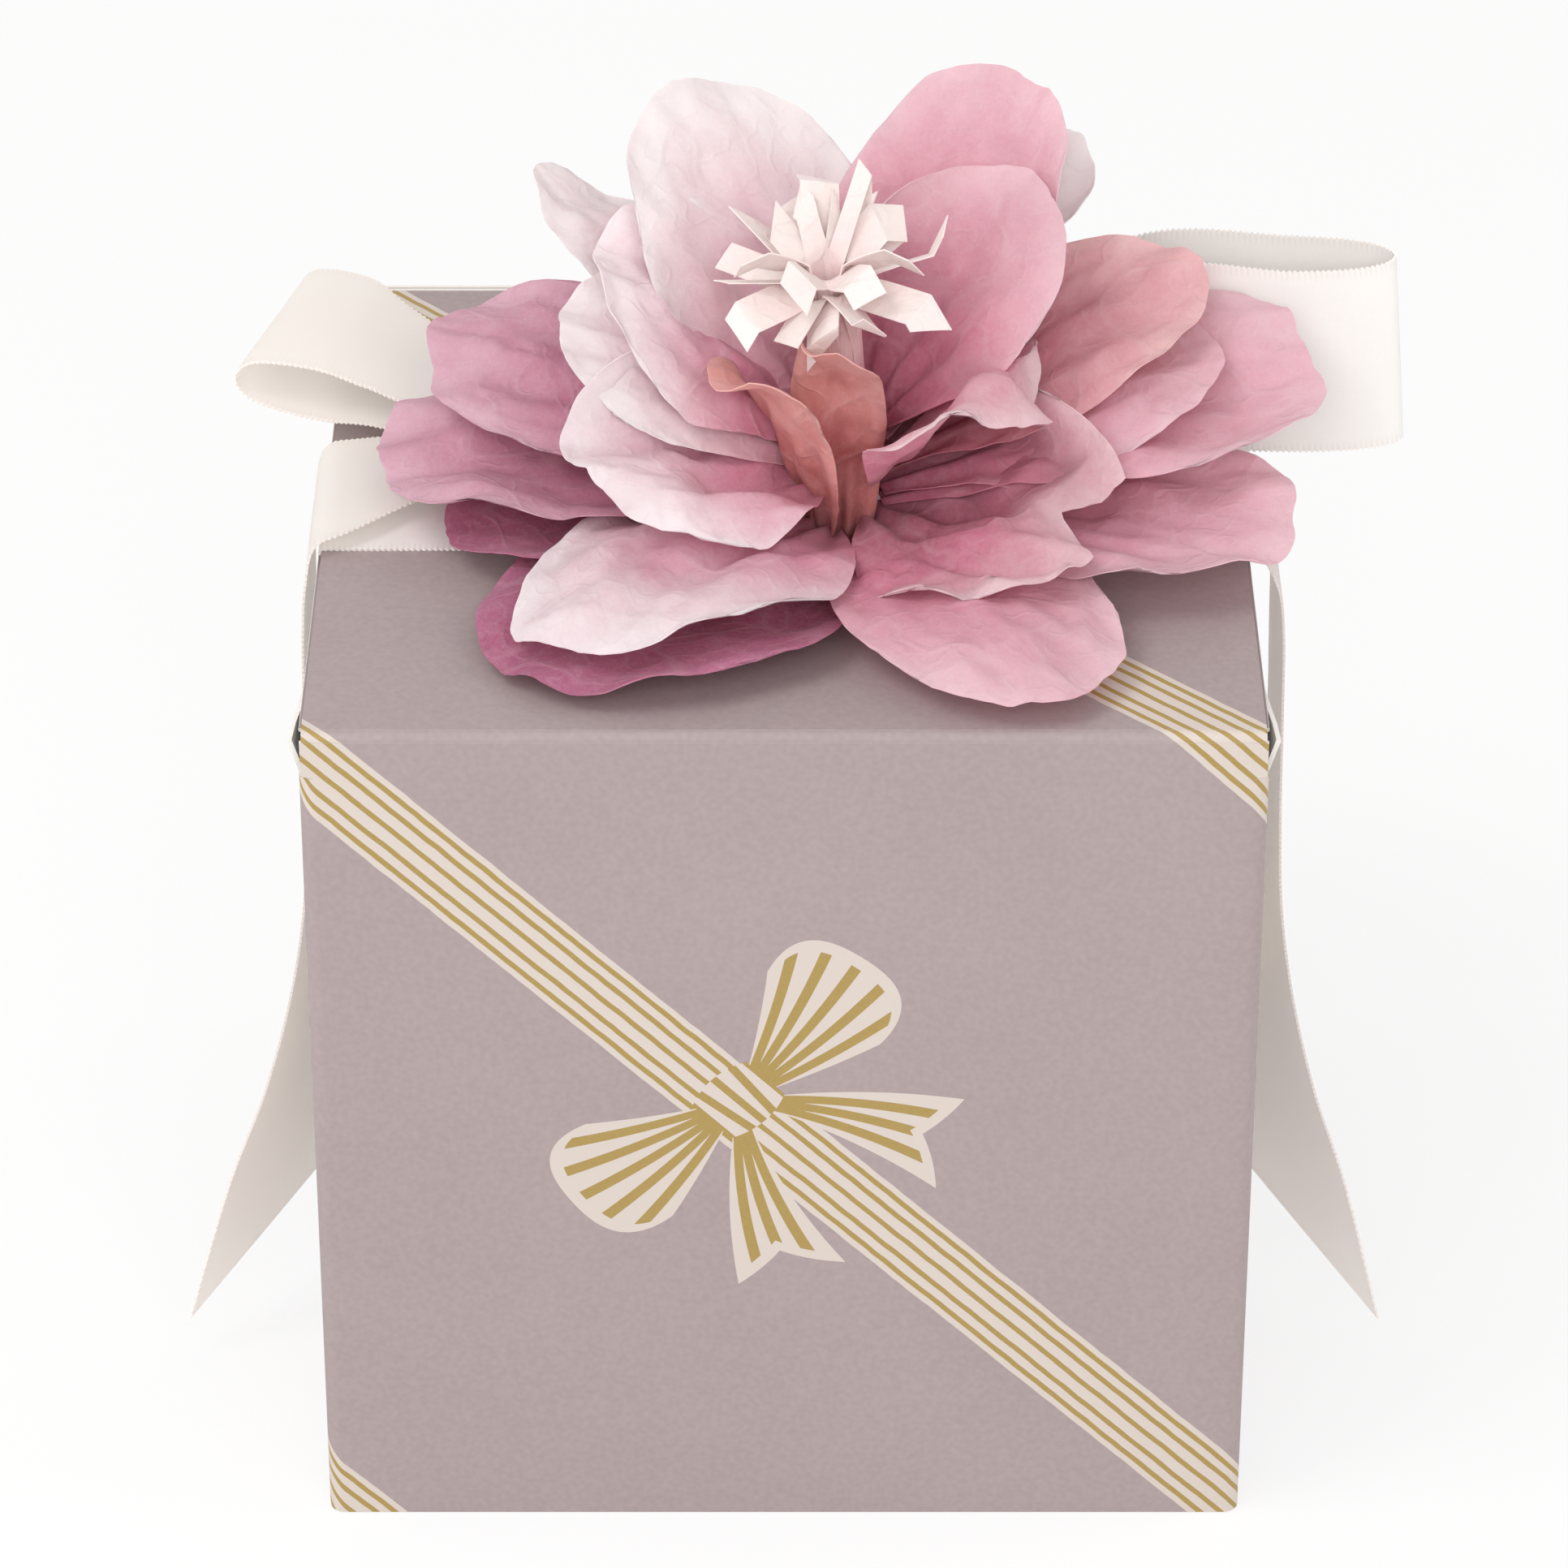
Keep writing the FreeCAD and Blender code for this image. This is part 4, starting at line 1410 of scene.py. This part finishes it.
PETALS: tuple[Petal, ...] = (
    Petal("outer_petal_1", (-40, -36.5, 2.6), 44, Dye.MAGENTA, bend=18, cup=4, waves=3, crumple=0.6),
    Petal("outer_petal_2", (27, -44, 2.8), 32, Dye.PINK, bend=34, cup=-10, crumple=0.9, ruffle=0.6),
    Petal("outer_petal_3", (-50, -3.5, 4.2), 27, Dye.MAGENTA, bend=14, cup=4, crumple=0.5, ruffle=0.5),
    Petal("outer_petal_4", (56, -9, 6.5), 32, Dye.PINK, bend=30, cup=8, roll=8),
    Petal(
        "outer_petal_5",
        (-37.5, -35.5, 5),
        36,
        Dye.BLUSH,
        bend=46,
        cup=-8,
        waves=2.5,
        ruffle=1.2,
        crumple=1.3,
        round_end=1.8,
    ),
    Petal("outer_petal_6", (-59, 7, 9), 32, Dye.MAUVE, bend=34, cup=12, roll=-10),
    Petal(
        "outer_petal_7",
        (32, -20, 12.5),
        38,
        Dye.ROSE,
        cup=22,
        roll=24,
        crumple=2.2,
        ruffle=1.4,
        notch=0.26,
    ),
    Petal("outer_petal_8", (60, 13, 18.5), 33, Dye.PINK, bend=28, cup=12, roll=16),
    Petal("middle_petal_1", (-52.5, 15, 19.5), 30, Dye.MAUVE, bend=28, cup=12, roll=-18),
    Petal("middle_petal_2", (46.5, 11.5, 22.5), 29, Dye.PINK, bend=20, cup=14, roll=20, crumple=1.0),
    Petal("middle_petal_3", (-4.5, 50, 25), 34, Dye.PINK),
    Petal(
        "middle_petal_4",
        (-34, -14, 18.5),
        33,
        Dye.BLUSH,
        bend=36,
        cup=14,
        roll=-26,
        crumple=2.0,
        ruffle=1.4,
    ),
    Petal("middle_petal_5", (44, 17.5, 30), 24, Dye.PEACH, bend=22, cup=8, roll=20),
    Petal(
        "middle_petal_6",
        (25, -10, 21),
        31,
        Dye.ROSE,
        bend=8,
        flip=88,
        crimp=0.1,
        cup=10,
        roll=-8,
        crumple=1.6,
    ),
    Petal("middle_petal_7", (-36, 8, 28), 27, Dye.PALE, bend=30, cup=10, roll=-20, crumple=1.0),
    Petal("middle_petal_8", (-39, 32, 37), 20, Dye.PALE, bend=10, cup=18, round_end=4.0, crumple=1.5),
    Petal("middle_petal_9", (28.5, 40, 37), 17, Dye.PALE, bend=10),
    Petal("inner_petal_1", (-30, 14, 36.5), 32, Dye.BLUSH, bend=24, cup=18, roll=-12, crumple=1.5),
    Petal("inner_petal_2", (22, 33, 49.5), 31, Dye.PINK, bend=12, cup=14, crumple=1.1),
    Petal("inner_petal_3", (-20, 32, 49), 34, Dye.PALE, bend=12, cup=14, crumple=0.9),
    Petal("inner_petal_4", (24, 16, 43), 30, Dye.PINK, bend=20, cup=18, roll=18, crumple=0.9),
    Petal("inner_petal_5", (-16, -11, 28), 19, Dye.CORAL, bend=20, flip=50, cup=24, root=(4.6, 3)),
    Petal("inner_petal_6", (-3, -13, 33), 13, Dye.CORAL, bend=10, flip=40, cup=30, root=(4.8, 2)),
)


@dataclass
class PaperFlower:
    """The tissue paper flower: petals, gathered core and fringed centre."""

    axis: tuple[float, float] = (7.5, -12.0)
    lid_top: float = 115.0
    foot: float = 4.1
    first: float = 1.7
    pitch: float = 0.75
    paper: float = 0.16
    root_width: float = 7.0
    widest: float = 0.78
    end_from: float = 0.66
    end_taper: float = 0.1
    notch_at: float = 0.12
    notch_half: float = 0.34
    least_cup: float = 0.02
    most_rounding: float = 0.85
    wrinkle: tuple[float, float] = (8.0, 19.0)
    fine_wrinkle: tuple[float, float] = (3.4, 7.0)
    facet: tuple[float, float] = (8.0, 12.0)
    fine_facet: tuple[float, float] = (4.5, 6.0)
    rows: int = 46
    cols: int = 47
    core_foot: float = 115.3
    core_height: float = 20.0
    core_radius: float = 3.25
    core_taper: float = 0.65
    core_rows: int = 24
    core_cols: int = 48
    petals: tuple[Petal, ...] = PETALS

    def __post_init__(self) -> None:
        """Makes the tissue's materials."""
        self.tissue = {dye: finish.material(f"tissue_{dye.value}") for dye, finish in DYES.items()}

    def _spine(self, petal: Petal, root: tuple[float, float]) -> tuple[np.ndarray, np.ndarray]:
        """A petal's middle line.

        Args:
            petal: The petal.
            root: Distance of the root from the axis and its height above the lid.

        Returns:
            Distance from the axis and height above the lid at each row, and the slope there.
        """
        shares = np.linspace(0, 1, self.rows)
        turn = -np.radians(petal.bend) * (shares - 0.5)
        turn = turn - np.radians(petal.flip) * ease((shares - self.end_from) / petal.crimp)
        steps = np.stack([np.cos(turn), np.sin(turn)], axis=1)
        line = np.concatenate([[[0.0, 0.0]], np.cumsum(0.5 * (steps[1:] + steps[:-1]), axis=0)])
        goal = np.array((math.hypot(petal.tip[0], petal.tip[1]) - root[0], petal.tip[2] - root[1]))
        size = np.linalg.norm(goal) / np.linalg.norm(line[-1])
        lean = math.atan2(goal[1], goal[0]) - math.atan2(line[-1, 1], line[-1, 0])
        spin = np.array(((math.cos(lean), math.sin(lean)), (-math.sin(lean), math.cos(lean))))
        return line @ spin * size + np.array(root), turn + lean

    def _reach(self, petal: Petal, t: float, rounding: float, seed: float) -> float:
        """Share of a petal's length at which its rim lies.

        Args:
            petal: The petal.
            t: Place across, from -1 to 1.
            rounding: Depth of the rounded end as a share of the length.
            seed: Start of its noise.

        Returns:
            The share, with the ragged edge and the notch.
        """
        ragged = 0.98 + 0.04 * ripple(1.8 * t, 0.0, seed + 2) + 0.006 * ripple(9 * t, 1.0, seed)
        reach = (1 - rounding * (1 - math.sqrt(1 - 0.98 * t * t))) * ragged
        return reach - petal.notch * max(0.0, 1 - abs(t - self.notch_at) / self.notch_half)

    def _half_width(self, petal: Petal, s: float) -> float:
        """Half width of a petal at a share of the way from root to rim."""
        root_share = self.root_width / petal.width
        spread = math.sin(0.5 * math.pi * min(1.0, s / self.widest)) ** 0.95
        half = 0.5 * petal.width * (root_share + (1 - root_share) * spread)
        return half * (1 - self.end_taper * max(0.0, (s - self.end_from) / (1 - self.end_from)) ** 2)

    def _relief(
        self,
        petal: Petal,
        s: float,
        t: float,
        flat: tuple[float, float],
        seed: float,
    ) -> tuple[float, float]:
        """Crumples, rim waves and root gathers at one point of a petal.

        Args:
            petal: The petal.
            s: Share of the way from root to rim.
            t: Place across, from -1 to 1.
            flat: Place on the flat paper, in millimetres.
            seed: Start of its noise.

        Returns:
            Height above the smooth petal, and how deep in a fold the point lies, which sets the painted fold
            shade there.
        """
        x, y = flat
        big = ridge(x / self.wrinkle[0], y / self.wrinkle[1], seed)
        small = ridge(x / self.fine_wrinkle[0], y / self.fine_wrinkle[1], seed + 4.0)
        crease = creased(x / self.facet[0], y / self.facet[1], seed + 7.0)
        crease += 0.4 * creased(x / self.fine_facet[0], y / self.fine_facet[1], seed + 11.0)
        lift = petal.ruffle * s**3 * math.sin(math.pi * petal.waves * t + seed)
        lift += petal.crumple * ease(s * 2.5) * (0.32 * big + 0.14 * small + 0.95 * crease)
        lift += 0.6 * (1 - s) ** 1.3 * math.sin(4 * math.pi * t + seed)
        # The second value is how much painted fold shade the tissue gets there.
        return lift, min(1.0, max(0.0, 0.22 + 0.25 * big + 0.25 * small - 0.3 * crease))

    def _sheet(self, petal: Petal, base: float, seed: float) -> SheetMesh:
        """A petal's paper.

        Args:
            petal: The petal.
            base: Height of its root above the lid in the common stack.
            seed: Start of its noise.

        Returns:
            The petal as a sheet.
        """
        heading = math.atan2(petal.tip[1], petal.tip[0])
        out = np.array((math.cos(heading), math.sin(heading), 0.0))
        across = np.array((-math.sin(heading), math.cos(heading), 0.0))
        up = np.array((0.0, 0.0, 1.0))
        origin = np.array((*self.axis, self.lid_top))
        line, slopes = self._spine(petal, petal.root or (self.foot, base))
        length = float(np.linalg.norm(np.diff(line, axis=0), axis=1).sum())
        shares = np.linspace(0, 1, self.rows)
        grid = np.zeros((self.rows, self.cols, 3))
        dye = np.zeros((self.rows, self.cols))
        fold = np.zeros((self.rows, self.cols))
        rounding = min(self.most_rounding, petal.round_end * 0.5 * petal.width / length)
        cup = math.radians(petal.cup) if abs(petal.cup) > 1 else self.least_cup
        for c, t in enumerate(np.linspace(-1, 1, self.cols)):
            reach = self._reach(petal, t, rounding, seed)
            for r, s in enumerate(shares):
                along = min(1.0, s * reach)
                radius = np.interp(along, shares, line[:, 0])
                height = np.interp(along, shares, line[:, 1])
                slope = np.interp(along, shares, slopes)
                skin = up * math.cos(slope) - out * math.sin(slope)
                roll = math.radians(petal.roll) * ease(s * 1.4)
                side = across * math.cos(roll) + skin * math.sin(roll)
                face = skin * math.cos(roll) - across * math.sin(roll)
                half = self._half_width(petal, s)
                turn = cup * (0.4 + 0.6 * ease(s * 1.5))
                point = origin + out * radius + up * height
                point = point + side * (half * math.sin(turn * t) / turn)
                point = point + face * (half * (1 - math.cos(turn * t)) / turn)
                normal = face * math.cos(turn * t) - side * math.sin(turn * t)
                lift, fold[r, c] = self._relief(petal, s, t, (half * t, length * along), seed)
                grid[r, c] = point + normal * lift
                dye[r, c] = s * (0.9 + 0.1 * abs(t)) + 0.1 * abs(t) ** 3
        return SheetMesh(grid * MM, self.paper * MM, None, {"dye": dye, "fold": fold})

    def _petals(self) -> None:
        """All the petals, from the lowest up."""
        for number, petal in enumerate(self.petals):
            sheet = self._sheet(petal, self.first + self.pitch * number, 1.7 * number + 0.4)
            piece = Piece(f"{petal.node}_tissue", [sheet], sharp=62.0).dress(self.tissue[petal.dye])
            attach(piece.object, "lid")
            piece.stands_for(DYE_SLOTS[petal.dye], petal.node)

    def _core(self) -> None:
        """The gathered and twisted paper under the petals."""
        rows = []
        values = []
        for share in np.linspace(0, 1, self.core_rows + 1):
            radius = self.core_radius - self.core_taper * share
            row = []
            for turn in np.linspace(0, 2 * math.pi, self.core_cols + 1):
                pleat = 0.22 * math.sin(9 * turn + 5 * share) + 0.1 * math.sin(17 * turn - 3 * share)
                reach = radius + pleat
                x = self.axis[0] + reach * math.cos(turn)
                y = self.axis[1] + reach * math.sin(turn)
                row.append((x, y, self.core_foot + self.core_height * share))
            rows.append(row)
            values.append([0.1 + 0.2 * share] * (self.core_cols + 1))
        grid = np.array(rows) * MM
        # The whole core gets the same share of painted fold shade.
        fold = np.full(grid.shape[:2], 0.3)
        sheet = SheetMesh(grid, self.paper * MM, None, {"dye": np.array(values), "fold": fold})
        piece = Piece("flower_core_tissue", [sheet], sharp=70.0).dress(self.tissue[Dye.MAGENTA])
        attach(piece.object, "lid")
        piece.stands_for("tissue_pink", "flower_core")

    def build(self) -> None:
        """Builds and dresses the flower."""
        self._petals()
        self._core()
        Fringe(self.axis, self.core_foot + self.core_height).build()
        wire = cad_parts["binding_wire"].data.materials
        wire.clear()
        wire.append(WrappedWire().material("wrapped_wire"))
        log.info("binding_wire keeps its solid")


@dataclass(frozen=True)
class Strip:
    """One strip of the fringe.

    Attributes:
        turn: Direction in degrees, from the right towards the back.
        rise: Height at which it leaves the bundle.
        slope: Slope of its free length in degrees.
        length: Free length in millimetres.
        twist: Turn of the free length about itself, in degrees.
        width: Width in millimetres.
        hook: Length of the end beyond its fold.
        fold: Turn at that fold in degrees; positive turns the end down.
    """

    turn: float
    rise: float
    slope: float
    length: float
    twist: float
    width: float
    hook: float = 0.0
    fold: float = 0.0


FRINGE: dict[str, tuple[Strip, ...]] = {
    "fringe_outer": (
        Strip(8, 15.5, 14, 9.5, -24, 4.0, 4.2, -52),
        Strip(38, 16.0, 24, 8.4, 36, 4.4),
        Strip(68, 15.5, 34, 9.0, -20, 4.2),
        Strip(112, 15.0, 40, 9.4, 14, 4.6),
        Strip(140, 15.0, 30, 9.8, 26, 4.6),
        Strip(166, 14.5, 16, 9.4, -36, 4.0),
        Strip(192, 15.5, 6, 9.2, 22, 4.4),
        Strip(220, 15.0, -4, 8.6, -28, 5.0, 2.6, 44),
        Strip(246, 14.5, -16, 8.4, 24, 4.6),
        Strip(268, 14.5, -12, 7.0, 38, 4.8, 2.8, 98),
        Strip(294, 15.0, -4, 8.8, -30, 5.0, 2.4, -40),
        Strip(322, 15.5, 2, 10.4, 20, 5.4, 3.0, 52),
        Strip(346, 14.5, -6, 8.6, -36, 4.4),
    ),
    "fringe_inner": (
        Strip(96, 16.0, 64, 10.0, 10, 4.8, 2.0, 80),
        Strip(32, 17.0, 40, 6.4, 40, 5.2, 4.0, 58),
        Strip(336, 17.5, 26, 6.4, -44, 5.0, 3.6, 40),
        Strip(204, 17.5, 22, 6.0, 44, 5.4, 3.4, 36),
        Strip(248, 17.0, 28, 5.4, -40, 4.8, 3.4, 62),
        Strip(298, 17.0, 22, 5.8, 36, 4.6, 3.6, 48),
        Strip(150, 17.0, 44, 6.4, -24, 4.4),
    ),
    "fringe_middle": (
        Strip(52, 17.0, 60, 12.0, 40, 2.6, 9.5, 150),
        Strip(76, 16.5, 56, 7.6, 66, 3.0),
        Strip(118, 17.0, 60, 6.6, -50, 3.6, 2.2, 60),
    ),
}


@dataclass
class Fringe:
    """The fringed centre: cut strips that splay from a rolled bundle."""

    axis: tuple[float, float]
    foot: float
    paper: float = 0.16
    lean: tuple[float, float, float] = (-2.5, 1.5, 0.0)
    rings: tuple[float, float, float] = (2.5, 1.5, 0.6)
    start_lift: float = 0.2
    knee_out: float = 1.2
    knee_dip: float = 0.4
    root_widths: tuple[float, float] = (1.0, 1.5)
    sag: float = 0.25
    slant: float = 0.7
    steps: int = 6
    cols: int = 5
    tissue: DippedTissue = DippedTissue(
        root=srgb(206, 124, 140),
        belly=srgb(246, 210, 210),
        rim=srgb(250, 240, 236),
        reach=0.5,
        softness=0.3,
        through=0.2,
    )

    def _sheet(self, strip: Strip, ring: float) -> SheetMesh:
        """One strip's paper.

        Args:
            strip: The strip.
            ring: Distance of its foot from the axis.

        Returns:
            The strip as a sheet.
        """
        turn, slope = math.radians(strip.turn), math.radians(strip.slope)
        out = np.array((math.cos(turn), math.sin(turn), 0.0))
        up = np.array((0.0, 0.0, 1.0))
        across = np.array((-math.sin(turn), math.cos(turn), 0.0))
        start = np.array((*self.axis, self.foot + self.start_lift)) + out * ring
        knee = start + up * strip.rise + out * self.knee_out + np.array(self.lean)
        end = knee + (out * math.cos(slope) + up * math.sin(slope)) * strip.length
        stops = [start, start + 0.5 * (knee - start), knee - up * self.knee_dip]
        stops += [knee + 0.08 * (end - knee), end]
        if strip.hook:
            fall = slope - math.radians(strip.fold)
            stops.append(end + (out * math.cos(fall) + up * math.sin(fall)) * strip.hook)
        widths = [*self.root_widths, 0.85 * strip.width, strip.width, strip.width, strip.width]
        line: list[np.ndarray] = []
        spans: list[float] = []
        for one, two, a, b in zip(stops, stops[1:], widths, widths[1:]):
            for share in np.linspace(0, 1, self.steps, endpoint=False):
                line.append(one + (two - one) * share)
                spans.append(a + (b - a) * share)
        line.append(stops[-1])
        spans.append(widths[len(stops) - 1])
        shares = np.linspace(-0.5, 0.5, self.cols)
        grid = np.zeros((len(line), len(shares), 3))
        for r, (point, span) in enumerate(zip(line, spans)):
            turned = math.radians(strip.twist) * ease((r / len(line) - 0.4) / 0.3)
            side = across * math.cos(turned) + up * math.sin(turned)
            for c, share in enumerate(shares):
                sag = self.sag * (0.25 - share * share)
                grid[r, c] = point + side * (span * share) + up * sag
        heading = line[-1] - line[-2]
        heading = heading * self.slant * math.sin(strip.turn) * strip.width / np.linalg.norm(heading)
        late = np.linspace(0, 1, self.steps + 1)[1:]
        grid[-self.steps :] += late[:, None, None] * shares[None, :, None] * heading
        dye = np.repeat(np.linspace(0, 1, len(line))[:, None], len(shares), axis=1)
        return SheetMesh(grid * MM, self.paper * MM, None, {"dye": dye, "fold": np.zeros_like(dye)})

    def build(self) -> None:
        """Builds and dresses the three rings."""
        material = self.tissue.material("tissue_fringe")
        for group, ring in zip(FRINGE, self.rings):
            sheets = [self._sheet(strip, ring) for strip in FRINGE[group]]
            piece = Piece(f"{group}_tissue", sheets, sharp=40.0).dress(material)
            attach(piece.object, "lid")
            piece.stands_for("fringe_paper", group)


# Studio


@dataclass(frozen=True)
class Lamp:
    """A soft square lamp that faces the object.

    Attributes:
        name: Name of the lamp.
        at: Its place in metres.
        size: Its side in metres.
        power: Its power in watts.
    """

    name: str
    at: tuple[float, float, float]
    size: float
    power: float

    def build(self, target: Vector) -> None:
        """Puts the lamp in its place, turned to a point."""
        data = bpy.data.lights.new(self.name, "AREA")
        data.size = self.size
        data.energy = self.power
        made = bpy.data.objects.new(self.name, data)
        made.location = self.at
        made.rotation_euler = (target - Vector(self.at)).to_track_quat("-Z", "Y").to_euler()
        bpy.context.scene.collection.objects.link(made)


@dataclass
class Studio:
    """Pale floor, white surround, soft lamps and the camera."""

    camera_at: tuple[float, float, float] = (0.0, -0.7462, 0.5319)
    camera_tilt: float = 58.4
    lens: float = 156.9
    sensor: float = 36.0
    surround: float = 0.7
    surround_tint: Colour = (1.0, 0.99, 0.98)
    floor_half: float = 6.0
    floor_drop: float = 0.2 * MM
    lit_at: tuple[float, float, float] = (0.0, 0.0, 0.1)
    lamps: tuple[Lamp, ...] = (
        Lamp("key", (-0.42, -0.3, 0.88), 0.4, 2.4),
        Lamp("front_left", (-0.28, -1.12, 0.8), 0.6, 3.3),
        Lamp("front_right", (0.28, -1.12, 0.8), 0.6, 3.3),
        Lamp("left_fill", (-1.1, 0.0, 0.3), 0.8, 2.2),
        Lamp("right_fill", (1.1, 0.0, 0.3), 0.8, 2.2),
    )

    def camera(self) -> None:
        """The camera at the photograph's viewing angle."""
        data = bpy.data.cameras.new("camera")
        data.lens = self.lens
        data.sensor_width = self.sensor
        data.clip_start = 0.01
        made = bpy.data.objects.new("camera", data)
        made.location = self.camera_at
        made.rotation_euler = (math.radians(self.camera_tilt), 0.0, 0.0)
        bpy.context.scene.collection.objects.link(made)
        bpy.context.scene.camera = made

    def world(self) -> None:
        """White to the camera and a plain grey light to the object."""
        world = bpy.data.worlds.new("surround")
        world.use_nodes = True
        bpy.context.scene.world = world
        g = Graph(world.node_tree)
        seen = g.seen()
        light = g.add("ShaderNodeBackground", None, {0: opaque(self.surround_tint), 1: self.surround})
        white = g.add("ShaderNodeBackground", None, {0: opaque(WHITE), 1: 1.0})
        shown = g.add("ShaderNodeMixShader", None, {0: seen, 1: light, 2: white})
        g.add("ShaderNodeOutputWorld", None, {0: shown})

    def floor(self) -> None:
        """A wide pale floor that keeps the object's shadow."""
        half, z = self.floor_half, -self.floor_drop
        corners = [(-half, -half, z), (half, -half, z), (half, half, z), (-half, half, z)]
        mesh = bpy.data.meshes.new("floor")
        mesh.from_pydata(corners, [], [(0, 1, 2, 3)])
        made = bpy.data.objects.new("floor", mesh)
        bpy.context.scene.collection.objects.link(made)
        mesh.materials.append(PaleFloor().material("pale_floor"))

    def build(self) -> None:
        """Sets the stage."""
        bpy.context.scene.view_settings.view_transform = "Standard"
        self.camera()
        self.world()
        self.floor()
        for lamp in self.lamps:
            lamp.build(Vector(self.lit_at))


def main() -> None:
    """Builds the scene."""
    logging.basicConfig(level=logging.INFO, format="%(message)s")
    Studio().build()
    Carton().build()
    Bow().build()
    PaperFlower().build()


if __name__ == "__main__":
    main()
